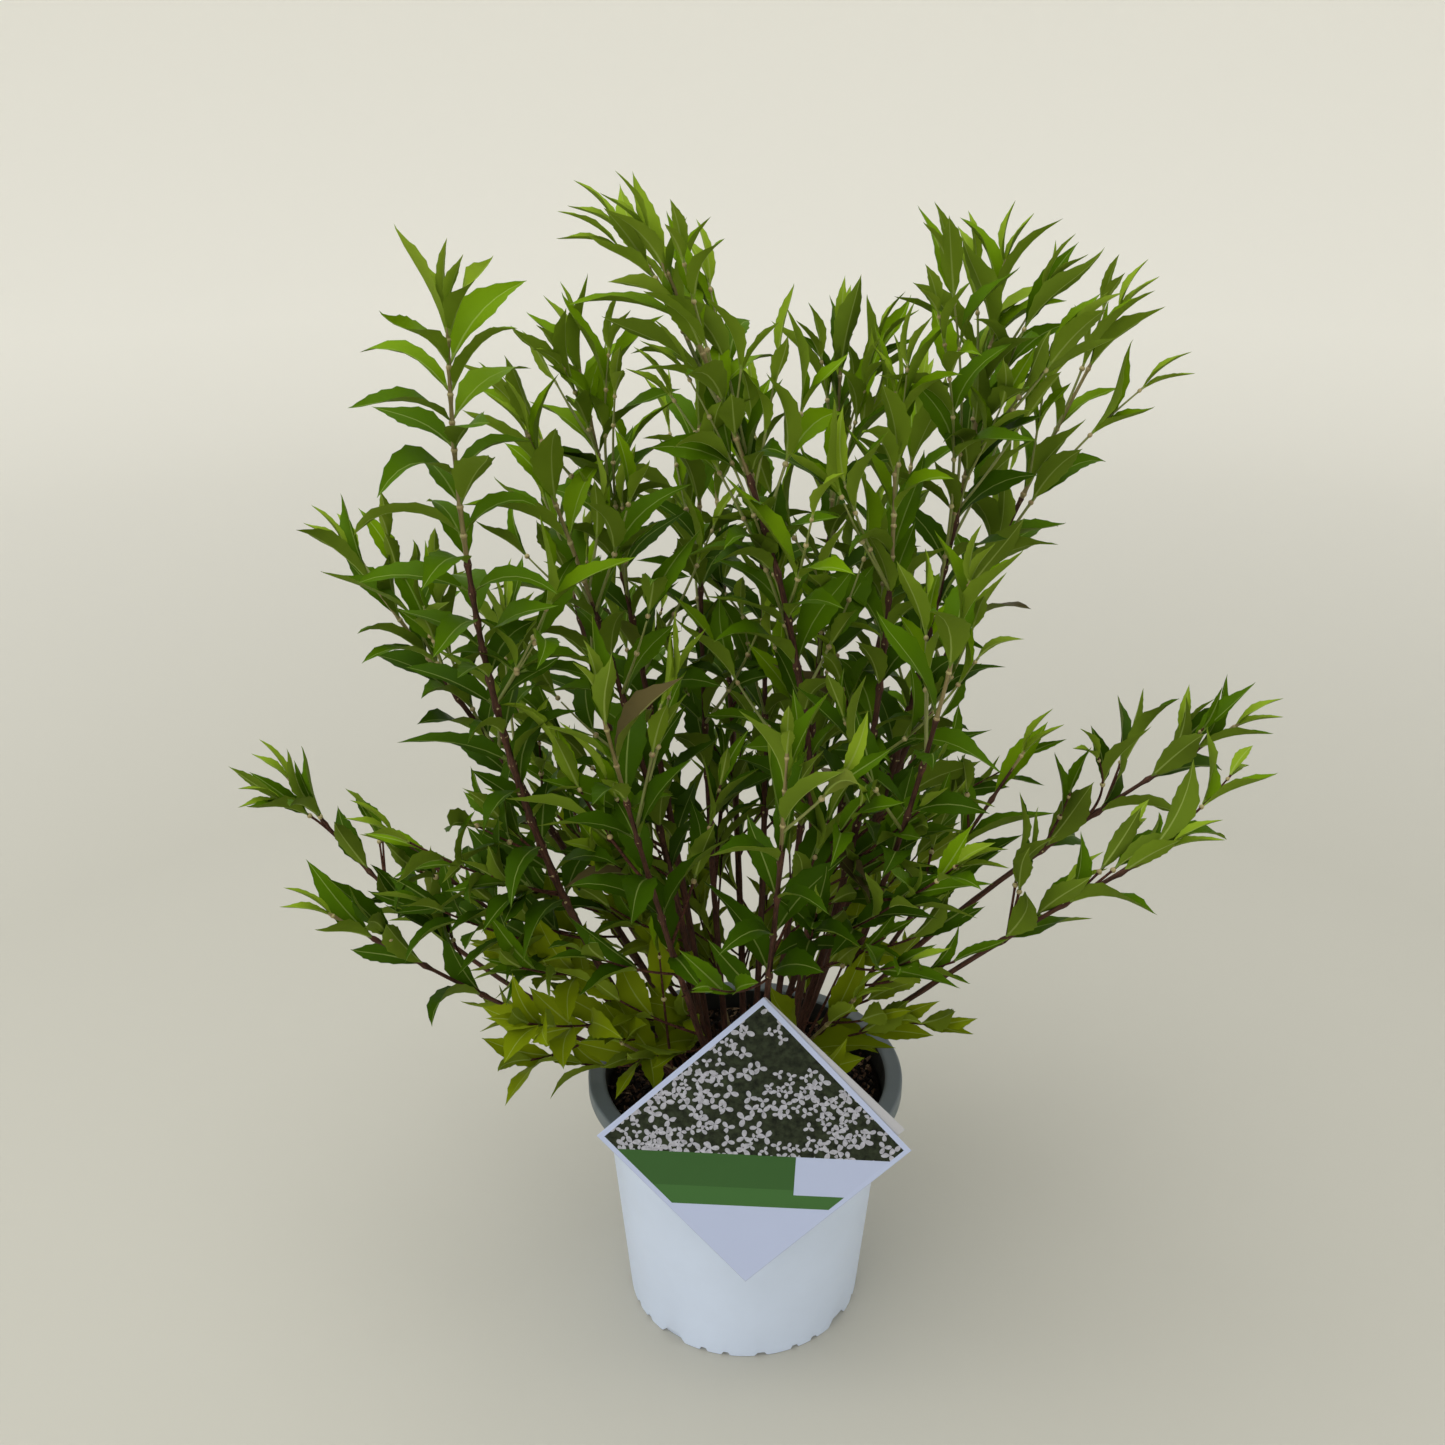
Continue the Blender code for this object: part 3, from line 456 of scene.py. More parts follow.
# Finer growth, which only this script has.
SHORTER_TRIES = (1.0, 0.7, 0.45)
SPROUT_STEPS = 4
SPROUT_TURN = 1.2
SPROUT_LEAF_TURN = 0.6
BOX_MARGIN = 12 * MM
LOW_TIP = 420 * MM
TALL_TIP = 560 * MM
OPEN_CANE_LEAF = 1.02
OPEN_CANE_GAP = 1.5
OPEN_CANE_TWIG = 0.5
SHORT_TWIG_NODES = 4
MIDDLE_OPENNESS = 0.3
SPARSE_HEIGHT = 500 * MM
SPARSE_REACH = 65 * MM
SPARSE_SHARE = 0.6
RIGHT_THINNING = 0.7
RIGHT_REACH = 60 * MM
TWIG_RADIUS = (1.3 * MM, 1.05 * MM, 0.8 * MM)
SIZE_BY_RANK = (1.0, 0.95, 0.8)
GAP_BY_RANK = (1.0, 1.05, 0.85)
GAP_BY_CANE = {"right_upper": 1.7, "left_tall": 0.62, "left_low_back": 1.25, "left_low_middle": 1.15}
OPENING_BY_CANE = {"left_tall": 1.3}


class Leader(NamedTuple):
    """A second top of a cane: the share of the cane where it leaves, and its tip as a cane's is given."""

    cane: str
    share: float
    tip: tuple


LEADERS = (
    Leader("centre_tall", 0.80, (200, 87, 665)),
    Leader("centre_tall", 0.72, (247, 92, 660)),
    Leader("centre_tall", 0.60, (218, 33, 648)),
    Leader("centre_tall", 0.55, (224, 64, 606)),
    Leader("centre_left", 0.62, (213, 73, 593)),
    Leader("right_inner", 0.70, (346, 80, 611)),
    Leader("centre_right", 0.60, (351, 64, 593)),
    Leader("right_tall", 0.58, (330, 90, 630)),
    Leader("centre_tall", 0.84, (212, 103, 653)),
    Leader("centre_left", 0.70, (180, 64, 613)),
    Leader("centre_left", 0.78, (191, 105, 600)),
    Leader("centre_right", 0.70, (21, 85, 610)),
    Leader("centre_right", 0.72, (34, 35, 606)),
    Leader("right_tall", 0.62, (353, 86, 655)),
    Leader("right_tall", 0.72, (22, 119, 648)),
    Leader("right_tall", 0.66, (0, 156, 640)),
    Leader("right_upper", 0.76, (13, 194, 627)),
    Leader("right_upper", 0.60, (12, 240, 577)),
    Leader("left_upper", 0.64, (183, 187, 517)),
    Leader("left_upper", 0.76, (165, 238, 487)),
    Leader("right_low_back", 0.74, (9, 256, 393)),
    Leader("right_low_back", 0.60, (0, 182, 382)),
    Leader("right_low_front", 0.72, (0, 279, 372)),
    Leader("left_low_back", 0.74, (177, 291, 338)),
    Leader("left_upper", 0.55, (186, 160, 500)),
    Leader("right_low_front", 0.50, (349, 196, 326)),
    Leader("right_low_front", 0.62, (358, 223, 343)),
    Leader("right_low_middle", 0.50, (349, 146, 322)),
    Leader("centre_tall", 0.55, (164, 31, 591)),
    Leader("centre_tall", 0.50, (194, 59, 589)),
)
LEADER_NODES = 9
LEADER_BOW = 0.5


class Growth(NamedTuple):
    """A kind of extra side shoot: from which share of a cane to which, how often, and how it grows.

    Sites stand a gap apart; opening is in degrees; rise bends it up at each step; clear is its distance
    from other wood; only canes whose tips lie between two heights have it. Outward shoots leave on the
    side away from the middle, and are fewer on the right. Leading ones are as frequent as twigs are.
    """

    start: float
    end: float
    gap: float
    chance: float
    length: tuple
    opening: float
    rise: float
    clear: float
    tips: tuple
    outward: bool
    leading: bool


GROWTHS = (
    Growth(0.68, 0.95, 18 * MM, 0.80, (40 * MM, 100 * MM), 28, 0.08, 5.5 * MM, (TALL_TIP, 1.0), False,
           True),
    Growth(0.07, 0.36, 13 * MM, 0.75, (35 * MM, 100 * MM), 50, 0.10, 3.0 * MM, (LOW_TIP, 1.0), True, False),
    Growth(0.03, 0.24, 13 * MM, 0.40, (8 * MM, 24 * MM), 62, 0.12, 2.4 * MM, (LOW_TIP, 1.0), True, False),
    Growth(0.08, 0.60, 20 * MM, 0.35, (18 * MM, 50 * MM), 44, 0.10, 4 * MM, (0.0, LOW_TIP), True, False),
)
MOST_TWIGS = 7
FEWEST_TWIGS = 3
LEADER_DROP = 10 * MM
LEADER_SLOPE = 0.42
OUTWARD_SPREAD = 1.1

# A leaf's opening in degrees, its size, width, droop and fold, by its place counted back from the tip.
OPENING_BY_PLACE = (15, 27, 36, 42, 47)
SIZE_BY_PLACE = (0.70, 0.92, 1.0, 1.0, 1.0)
WIDTH_BY_PLACE = (0.74, 0.86, 0.95, 1.0, 1.0)
DROOP_BY_PLACE = (0.22, 0.42, 0.62, 0.78, 0.88)
DROOP_SPREAD = (0.3, 1.5)
FLICK = (0.25, 0.35)
FOLD_BY_PLACE = (0.70, 0.58, 0.48, 0.40, 0.34)
FOLD_SPREAD = (0.65, 1.35)
MOOD_SPREAD = 0.5
OPENING_SPREAD = (0.78, 1.28)
LEAF_FACING = math.radians(45)
FACING_SPREAD = 0.28
FACE_TURN_IN = 0.7
FACE_TURN_UP = 0.6
LEAF_GAP = 3.2 * MM
WOOD_GAP = 2.4 * MM
LEAF_TURN_SPREAD = 0.3
LEAF_SPREAD = (0.74, 1.14)
TWIST_SPREAD = 0.75
SWEEP_SPREAD = 0.16

# How a leaf that finds no room is tried again: share of its opening, share of its size.
LEAF_TRIES = ((1, 1), (0.7, 1), (1.25, 0.95), (0.5, 0.9), (0.8, 0.75))

# Tones, and how a painted light on a leaf deals them out: it grows with its height and the shoot's mood, and
# falls with its place counted back from the tip. The tones are partly the real greens of young and old
# leaves and partly painted light and shade: high leaves take lighter greens as if lit, and low ones and
# those far from a tip take darker greens as if shaded.
TONES = ("young", "fresh", "grown", "deep", "low", "bronze")
YOUNG, FRESH, GROWN, DEEP, LOW, BRONZE = range(len(TONES))
LOW_LEAVES_BELOW = 262 * MM
LOW_LEAVES_REACH = 150 * MM
LOW_BREADTH = 1.3
BRONZE_CHANCE = 0.012
BRONZE_BELOW = 450 * MM
LIGHT_BY_HEIGHT = 0.95
LIGHT_BY_MOOD = 0.55
LIGHT_BY_PLACE = -0.11
LIGHT_BY_CHANCE = 0.12
LAST_SHADED_PLACE = 5
YOUNG_LIGHT = 0.90
YOUNG_TIP_LIGHT = 0.55
FRESH_LIGHT = 0.50
GROWN_LIGHT = 0.16

# The narrow pair at a cane's tip.
TIP_PAIR_WIDTH = 0.2
TIP_PAIR_FOLD = 0.5
TIP_PAIR_OPENING = 24
TIP_PAIR_TWIST = 0.1
TIP_SECOND_SIZE = 0.9
TIP_SECOND_DROOP = 0.35
TIP_SECOND_FLICK = 0.3

# How a leaf bends along its length.
LEAF_LIFT = 0.38
DROOP_POWER = 1.6
FLICK_POWER = 5


class Leaf(NamedTuple):
    """One leaf before it has its surface."""

    root: np.ndarray
    along: np.ndarray
    face: np.ndarray
    length: float
    width: float
    droop: float
    flick: float
    twist: float
    fold: float
    sweep: float
    tone: int


def sprouts(canes, paths, wood, rng):
    """Extra side shoots of every kind, cane by cane, kept where they stay clear of all other wood."""
    limbs, owners = list(wood[0]), list(wood[1])
    made = []
    for growth in GROWTHS:
        for index, (cane, path) in enumerate(zip(canes, paths)):
            if not growth.tips[0] <= path[-1][2] < growth.tips[1]:
                continue
            length = distance_along(path)[-1]
            places = np.arange(growth.start, growth.end, growth.gap / length) * length
            places = places + rng.uniform(0, growth.gap, len(places))
            sites = at(path, places)
            directions = unit(at(path, places + 3 * MM) - at(path, places - 3 * MM))
            starts, ends, owner = segments(limbs, owners)
            often = growth.chance
            if growth.leading:
                often *= (cane.twigs - FEWEST_TWIGS) / (MOST_TWIGS - FEWEST_TWIGS)
            for number, (site, direction) in enumerate(zip(sites, directions)):
                chance, reach = rng.uniform(), rng.uniform(*growth.length)
                turn = number * math.pi * 0.5 * rng.choice((1, 3)) + rng.uniform(0, SPROUT_TURN) + index
                swing = rng.uniform(-OUTWARD_SPREAD, OUTWARD_SPREAD)
                thinned = RIGHT_THINNING * np.clip(site[0] / RIGHT_REACH, 0.0, 1.0) * growth.outward
                if chance > often * (1.0 - thinned):
                    continue
                side = outward_side(site, direction, swing) if growth.outward else leaf_side(direction, turn)
                if side[2] < TWIG_LOWEST_SIDE and not growth.outward:
                    side = -side
                heading = opened(direction, side, growth.opening)
                for shorter in SHORTER_TRIES:
                    nodes = bending_up(site, heading, reach * shorter, SPROUT_STEPS, growth.rise)
                    if sprout_fits(nodes, path[-1], index, starts, ends, owner, growth.clear):
                        made.append(Shoot(index, nodes, turn + SPROUT_LEAF_TURN, 2))
                        limbs.append(nodes)
                        owners.append(index)
                        starts, ends, owner = segments(limbs, owners)
                        break
    return made


def leader_shoot(leader, canes, paths):
    """Quadratic curve that leaves its cane along the cane itself and bends to a tip, less its last leaf."""
    index = [cane.name for cane in canes].index(leader.cane)
    run = distance_along(paths[index])
    site, ahead = at(paths[index], np.array([0.0, NODE_GAP]) + leader.share * run[-1])
    tip = spot(leader.tip)
    curve = quadratic(site, site + unit(ahead - site) * np.linalg.norm(tip - site) * LEADER_BOW, tip)
    nodes = at(curve, np.linspace(0.0, distance_along(curve)[-1] - TIP_LEAF, LEADER_NODES))
    return Shoot(index, nodes, math.radians(leader.tip[0]) + index, 1), tip


def outward_side(site, direction, swing):
    """Direction square to a cane's own, on the side away from the middle, swung round it a little."""
    away = math.atan2(site[1], site[0]) + swing
    side = np.array([math.cos(away), math.sin(away), 0.0])
    return unit(side - direction * np.dot(side, direction))


def sprout_fits(nodes, leader, index, starts, ends, owner, clear):
    """True where a side shoot clears other wood and the box, and stays below its cane's leading tip.

    Its tip is lower than the leader's by a fixed drop and by a share of their level distance.
    """
    aside = np.hypot(*(nodes[-1] - leader)[:2])
    if nodes[-1][2] > leader[2] - LEADER_DROP - LEADER_SLOPE * aside - TIP_LEAF:
        return False
    if (nodes < SHRUB_LOW + BOX_MARGIN).any() or (nodes > SHRUB_HIGH - BOX_MARGIN).any():
        return False
    gap = distances(nodes[1:], starts, ends)
    if gap[:, owner != index].min() < clear or gap[2:, owner == index].min() < clear:
        return False
    return room_for(nodes[1:])


def room_for(points):
    """True where no point is low over the pot, in the card's space, or beside the pot's wall.

    Outside the rim, leaves and shoots may hang a little below it. In front of the card its space rises
    with the line of sight over its top.
    """
    out = np.hypot(points[:, 0], points[:, 1])
    over_pot = (out < POT_HIGH[0] + RIM_ROOM) & (points[:, 2] < LEAF_FLOOR)
    hanging = points[:, 2] < LOWEST_LEAF
    card_top = CARD_ROOM_TOP + CARD_VIEW_SLOPE * np.clip(CARD_VIEW_FRONT - points[:, 1], 0.0, None)
    return not (over_pot | hanging | by_card(points, card_top)).any()


def by_openness(mass, fully):
    """A factor for one cane's foliage: 1 on a tall cane, fully on a low one, between them on others."""
    tip = LIMBS[mass].tip[2] * MM
    openness = 1.0 if tip < LOW_TIP else MIDDLE_OPENNESS if tip < TALL_TIP else 0.0
    return 1.0 + (fully - 1.0) * openness


def node_places(shoot, settings):
    """Distances of a shoot's pairs of leaves, whose gaps fall evenly; open canes have wider ones."""
    wider = GAP_BY_RANK[shoot.rank] * by_openness(shoot.mass, OPEN_CANE_GAP)
    wider *= GAP_BY_CANE.get(LIMBS[shoot.mass].name, 1.0)
    length = distance_along(shoot.nodes)[-1]
    low_gap, top_gap = settings.low_gap * wider, settings.top_gap * wider
    gaps = np.linspace(low_gap, top_gap, max(2, round(length / ((low_gap + top_gap) / 2))))
    return np.cumsum(gaps) / gaps.sum() * length


def leaf_tone(place, root, mood, rng):
    """Tone by spray: young at the tips, then fresh, grown or deep by the painted light on the leaf, which
    stands for light high on the shrub and shade low in it.
    """
    chance = rng.uniform()
    if root[2] < LOW_LEAVES_BELOW and np.hypot(root[0], root[1]) < LOW_LEAVES_REACH:
        return LOW
    if chance < BRONZE_CHANCE and root[2] < BRONZE_BELOW:
        return BRONZE
    height = (root[2] - CROWN_TOP) / (SHRUB_HIGH[2] - CROWN_TOP)
    light = height * LIGHT_BY_HEIGHT + mood * LIGHT_BY_MOOD
    light += LIGHT_BY_PLACE * min(place, LAST_SHADED_PLACE) + LIGHT_BY_CHANCE * chance
    if light > YOUNG_LIGHT or (place == 0 and light > YOUNG_TIP_LIGHT):
        return YOUNG
    if light > FRESH_LIGHT:
        return FRESH
    return GROWN if light > GROWN_LIGHT else DEEP


def shoot_leaves(axis, settings, rng, fits):
    """Opposite leaves at each node, each pair a quarter turn on, closing up towards the tip."""
    places = node_places(axis, settings)
    smallness = by_openness(axis.mass, OPEN_CANE_LEAF)
    roots = at(axis.nodes, places)
    ahead = unit(at(axis.nodes, places + MM) - at(axis.nodes, places - 6 * MM))
    wide = OPENING_BY_CANE.get(LIMBS[axis.mass].name, 1.0)
    mood = rng.uniform(-MOOD_SPREAD, MOOD_SPREAD)
    facing = LEAF_FACING + rng.normal(0.0, FACING_SPREAD)
    leaves = []
    for number, (root, direction) in enumerate(zip(roots, ahead)):
        sparse = SPARSE_SHARE * math.exp(-(((root[2] - SPARSE_HEIGHT) / SPARSE_REACH) ** 2))
        if axis.rank and rng.uniform() < sparse:
            continue
        place = len(places) - 1 - number
        row = min(place, len(OPENING_BY_PLACE) - 1)
        for half_turn in (0.0, math.pi):
            turn = facing + number * math.pi / 2 + half_turn
            turn += rng.uniform(-LEAF_TURN_SPREAD, LEAF_TURN_SPREAD)
            side = leaf_side(direction, turn)
            grown = rng.uniform(*LEAF_SPREAD) * SIZE_BY_RANK[axis.rank] * SIZE_BY_PLACE[row]
            grown *= smallness
            twist, sweep = rng.normal(0.0, TWIST_SPREAD), rng.normal(0.0, SWEEP_SPREAD)
            fold, droop = rng.uniform(*FOLD_SPREAD) * FOLD_BY_PLACE[row], rng.uniform(*DROOP_SPREAD)
            flick, opening = rng.normal(*FLICK), rng.uniform(*OPENING_SPREAD) * OPENING_BY_PLACE[row]
            tone = leaf_tone(place, root, mood, rng)
            broad = LOW_BREADTH if tone == LOW else 1.0
            for closing, smaller in LEAF_TRIES:
                along = opened(direction, side, opening * closing * wide)
                face = direction - side * np.dot(along, direction) * FACE_TURN_IN + UP * FACE_TURN_UP
                face = unit(face - along * np.dot(face, along))
                size = settings.leaf_length * grown * smaller
                width = size * settings.leaf_width * WIDTH_BY_PLACE[row] * broad
                leaf = Leaf(root, along, face, size, width, droop * DROOP_BY_PLACE[row], flick, twist,
                            fold / broad**2, sweep, tone)
                if fits(leaf):
                    leaves.append(leaf)
                    break
    return leaves


def tip_pair(axis, tip):
    """The narrow last pair of a cane, one leaf of which ends at the cane's tip."""
    root = axis.nodes[-1]
    chord = tip - root
    length = float(np.linalg.norm(chord))
    along = unit(chord)
    rise = side_axes(along)[1]
    other = opened(along, -rise, TIP_PAIR_OPENING)
    face = unit(along - other * np.dot(along, other))
    width = length * TIP_PAIR_WIDTH
    level_droop = LEAF_LIFT * (DROOP_POWER + 1) / 3
    first = Leaf(root, along, rise, length, width, level_droop, 0.0, TIP_PAIR_TWIST, TIP_PAIR_FOLD, 0.0,
                 YOUNG)
    second = Leaf(root, other, face, length * TIP_SECOND_SIZE, width, TIP_SECOND_DROOP, TIP_SECOND_FLICK,
                  -TIP_PAIR_TWIST, TIP_PAIR_FOLD, 0.0, YOUNG)
    return [first, second]


# Where a leaf is tested for its room: the share of its length, and of its width to one side.
PROBE_PLACES = np.array([0.35, 0.55, 0.8, 1.0, 0.4, 0.4, 0.7])
PROBE_ASIDE = np.array([0.0, 0.0, 0.0, 0.0, 0.5, -0.5, 0.3])
PROBE_MIDRIB = [0, 3]


def leaf_probe(leaf):
    """Points of a leaf for the tests of its room: along its midrib, the integral of its heading, and
    at its edges.
    """
    u = PROBE_PLACES
    rise = (LEAF_LIFT * (1 - (1 - u) ** 3) / 3 - leaf.droop * u ** (DROOP_POWER + 1) / (DROOP_POWER + 1)
            + leaf.flick * u ** (FLICK_POWER + 1) / (FLICK_POWER + 1))
    across = np.cross(leaf.face, leaf.along)
    return (leaf.root + leaf.along * (leaf.length * u)[:, None]
            + across * (PROBE_ASIDE * leaf.width)[:, None] + leaf.face * (leaf.length * rise)[:, None])


class SkyGap(NamedTuple):
    """A slanting gap through the foliage: both ends of its middle line, and its radius, in millimetres."""

    front: tuple
    back: tuple
    radius: float


SKY_GAPS = (
    SkyGap((-164, -95, 391), (-211, 100, 299), 24),
    SkyGap((124, -79, 429), (167, 121, 348), 26),
    SkyGap((-1, -101, 629), (3, 118, 608), 18),
)


def in_sky_gap(points):
    """True where any of some points lies in a gap that stays open."""
    fronts, backs = (np.array([gap[end] for gap in SKY_GAPS]) * MM for end in (0, 1))
    radii = np.array([gap.radius for gap in SKY_GAPS]) * MM
    return (distances(points, fronts, backs) < radii).any()


def grow_leaves(axes, tips, wood, settings, rng):
    """All leaves, each kept where it clears the wood, the leaves already there and the shrub's reach."""
    starts, ends, _ = segments(*wood)
    grown = []
    middles = np.zeros((0, 2, 3))
    for axis, tip in zip(axes, tips):
        pairs = tip_pair(axis, tip) if tip is not None else []
        grown += pairs
        own_middles = np.array([leaf_probe(leaf)[PROBE_MIDRIB] for leaf in pairs]).reshape(-1, 2, 3)
        middles = np.concatenate([middles, own_middles])

        def fits(leaf):
            nonlocal middles
            points = leaf_probe(leaf)
            if not room_for(points) or in_sky_gap(points):
                return False
            if (points < SHRUB_LOW + MM).any() or (points > SHRUB_HIGH - MM).any():
                return False
            if distances(points, starts, ends).min() < WOOD_GAP:
                return False
            if len(middles) and distances(points, middles[:, 0], middles[:, 1]).min() < LEAF_GAP:
                return False
            middles = np.concatenate([middles, points[None, PROBE_MIDRIB]])
            return True

        grown += shoot_leaves(axis, settings, rng, fits)
    return grown


def shortened(twig):
    """A twig as it is, or only its inner share where its cane is one of the open ones."""
    share = by_openness(twig.mass, OPEN_CANE_TWIG)
    if share == 1.0 or not LIMBS[twig.mass].bare:
        return twig
    length = distance_along(twig.nodes)[-1]
    return twig._replace(nodes=at(twig.nodes, np.linspace(0.0, length * share, SHORT_TWIG_NODES)))


class Plan(NamedTuple):
    """What the shrub is made of, before any of it has a surface."""

    canes: tuple
    paths: list
    shoots: list
    twigs: list
    fine: list
    leaves: list


@functools.lru_cache(maxsize=1)
def plan_shrub():
    """Canes' paths, shoots, twigs of both kinds and leaves, by the solids' rule and then the finer one."""
    settings = bpy.context.scene.deutzia_shrub
    rng = np.random.default_rng(settings.seed)
    canes = LIMBS
    paths = [cane_path(foot, cane) for foot, cane in zip(spread_roots(canes), canes)]
    shoots = [main_shoot(index, cane, path) for index, (cane, path) in enumerate(zip(canes, paths))]
    coarse = [path[::COARSE_STEP] for path in paths]
    twigs = [shortened(twig) for twig in grow_twigs(canes, shoots, coarse, rng)]
    fine_rng = np.random.default_rng(settings.seed + 1)
    leaders, leader_tips = zip(*(leader_shoot(leader, canes, paths) for leader in LEADERS))
    twigs = list(leaders) + twigs
    limbs = coarse + [twig.nodes for twig in twigs]
    owners = list(range(len(coarse))) + [twig.mass for twig in twigs]
    fine = sprouts(canes, paths, (limbs, owners), fine_rng)
    wood = (limbs + [twig.nodes for twig in fine], owners + [twig.mass for twig in fine])
    axes = shoots + twigs + fine
    tips = [path[-1] for path in paths] + list(leader_tips)
    tips += [None] * (len(axes) - len(tips))
    return Plan(canes, paths, shoots, twigs, fine, grow_leaves(axes, tips, wood, settings, fine_rng))


def grid_quads(rows, columns, closed=False):
    """Quads between neighbouring rows of a grid; closed joins the last column to the first."""
    spans = columns if closed else columns - 1
    row, column = np.meshgrid(np.arange(rows - 1), np.arange(spans), indexing="ij")
    after = (column + 1) % columns
    low, high = row * columns, (row + 1) * columns
    return np.stack([low + column, low + after, high + after, high + column], axis=-1).reshape(-1, 4)


class Surface(NamedTuple):
    """Points, quads, triangles, a map of two values for each point, and a material slot for each face."""

    points: np.ndarray
    quads: np.ndarray
    triangles: np.ndarray
    places: np.ndarray
    slots: np.ndarray


def joined(surfaces):
    """Several surfaces as one, with their faces renumbered: all quads first, then all triangles."""
    starts = np.cumsum([0] + [len(surface.points) for surface in surfaces[:-1]])
    quads = [surface.quads + start for surface, start in zip(surfaces, starts)]
    triangles = [surface.triangles + start for surface, start in zip(surfaces, starts)]
    slots = [surface.slots[: len(surface.quads)] for surface in surfaces]
    slots += [surface.slots[len(surface.quads):] for surface in surfaces]
    points, places = zip(*((surface.points, surface.places) for surface in surfaces))
    return Surface(*map(np.concatenate, (points, quads, triangles, places, slots)))


def put_in_scene(name, data):
    """A new object that holds a mesh, a lamp or a lens."""
    thing = bpy.data.objects.new(name, data)
    bpy.context.scene.collection.objects.link(thing)
    return thing


def make_piece(name, surface, materials, nodes, sharp=None):
    """Put a surface into one mesh object at the origin, dressed, riding and standing for its nodes."""
    mesh = bpy.data.meshes.new(name)
    quads, triangles = surface.quads.astype(np.int32), surface.triangles.astype(np.int32)
    corners = np.concatenate([quads.ravel(), triangles.ravel()])
    starts = np.concatenate([np.arange(len(quads)) * 4, quads.size + np.arange(len(triangles)) * 3])
    mesh.vertices.add(len(surface.points))
    mesh.vertices.foreach_set("co", surface.points.astype(np.float32).ravel())
    mesh.loops.add(len(corners))
    mesh.loops.foreach_set("vertex_index", corners)
    mesh.polygons.add(len(starts))
    mesh.polygons.foreach_set("loop_start", starts.astype(np.int32))
    mesh.polygons.foreach_set("material_index", surface.slots.astype(np.int32))
    mesh.update(calc_edges=True)
    layer = mesh.uv_layers.new(name="places")
    layer.data.foreach_set("uv", surface.places[corners].astype(np.float32).ravel())
    mesh.shade_smooth()
    if sharp is not None:
        mesh.set_sharp_from_angle(angle=math.radians(sharp))
    for material in materials:
        mesh.materials.append(material)
    piece = put_in_scene(name, mesh)
    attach(piece, BODY)
    if nodes:
        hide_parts(*nodes)
    return piece


def capped(rings, ends, run, slots=0):
    """Closed surface through rings of points, shut by a fan of triangles to a point at each end.

    The map holds the way round and the run of each ring, in metres. slots is one number, or one for
    each gap between rings.
    """
    rows, sides = rings.shape[:2]
    count = rows * sides
    column = np.arange(sides)
    after = (column + 1) % sides
    top = count - sides
    foot = np.stack([after, column, np.full(sides, count)], axis=1)
    head = np.stack([top + column, top + after, np.full(sides, count + 1)], axis=1)
    around = np.linalg.norm(rings - np.roll(rings, 1, axis=1), axis=-1).mean(axis=0)
    places = np.stack(np.broadcast_arrays(np.cumsum(around)[None], run[:, None]), axis=-1).reshape(-1, 2)
    places = np.concatenate([places, [[0.0, run[0]], [0.0, run[-1]]]])
    bands = np.broadcast_to(slots, rows - 1)
    slots = np.concatenate([np.repeat(bands, sides), np.repeat(bands[[0, -1]], sides)])
    return Surface(np.concatenate([rings.reshape(-1, 3), ends]), grid_quads(rows, sides, closed=True),
                   np.concatenate([foot, head]), places, slots)


# How far a tube's ends stand out, as a share of its radius, the noise's lattice, and the sections of a chip
# along its length with their share of its width.
TUBE_FOOT = 0.3
TUBE_HEAD = 0.6
LATTICE = 16
CHIP_SECTIONS = np.array([-1.0, -0.45, 0.4, 1.0])
CHIP_SHARES = np.array([0.45, 0.95, 1.0, 0.3])
NO_TRIANGLES = np.zeros((0, 3), int)


def around_axis(sides):
    """Angles of some sides, evenly spread over a full turn."""
    return np.arange(sides) * 2 * math.pi / sides


def tube(path, radii, sides):
    """Closed tube: point = path(s) + r(s, a) (cos a first + sin a second), with a point at each end.

    radii has one value for each path point, or one for each path point and side.
    """
    directions = tangents(path)
    reference = side_axes(unit(path[-1] - path[0]))[0]
    first = unit(reference - directions * (directions @ reference)[:, None])
    second = np.cross(directions, first)
    angle = around_axis(sides)[None, :, None]
    radii = np.broadcast_to(np.asarray(radii).reshape(len(path), -1), (len(path), sides))
    ring = np.cos(angle) * first[:, None] + np.sin(angle) * second[:, None]
    ends = np.array([path[0] - directions[0] * radii[0].mean() * TUBE_FOOT,
                     path[-1] + directions[-1] * radii[-1].mean() * TUBE_HEAD])
    return capped(path[:, None] + ring * radii[..., None], ends, distance_along(path))


def revolved(out, up, sides):
    """Rings of points (r cos a, r sin a, z) for each r and z of a profile."""
    angle = around_axis(sides)
    return np.stack(np.broadcast_arrays(
        out[:, None] * np.cos(angle), out[:, None] * np.sin(angle), up[:, None]), axis=-1)


def turned(profile, sides, slots=0, lift=None):
    """Surface of revolution of a profile that starts and ends on the axis; lift raises its points.

    point = (r cos a, r sin a, z + lift(point)).
    """
    out, up = np.array(profile[1:-1]).T
    rings = revolved(out, up, sides)
    ends = np.array([(0.0, 0.0, profile[0][1]), (0.0, 0.0, profile[-1][1])])
    if lift is not None:
        rings[..., 2] += lift(rings)
    run = np.concatenate([[0.0], np.cumsum(np.hypot(np.diff(out), np.diff(up)))])
    return capped(rings, ends, run, slots)


def noise(points, size, seed):
    """Smooth noise from -1 to 1: random values on a cubic lattice of a size, blended by 3t^2 - 2t^3."""
    table = np.random.default_rng(seed).uniform(-1.0, 1.0, (LATTICE, LATTICE, LATTICE))
    place = points / size
    cell = np.floor(place).astype(int)
    share = place - cell
    share = share * share * (3 - 2 * share)
    total = 0.0
    for corner in itertools.product((0, 1), repeat=3):
        weight = np.where(corner, share, 1 - share).prod(axis=-1)
        index = (cell + corner) % LATTICE
        total = total + weight * table[index[..., 0], index[..., 1], index[..., 2]]
    return total


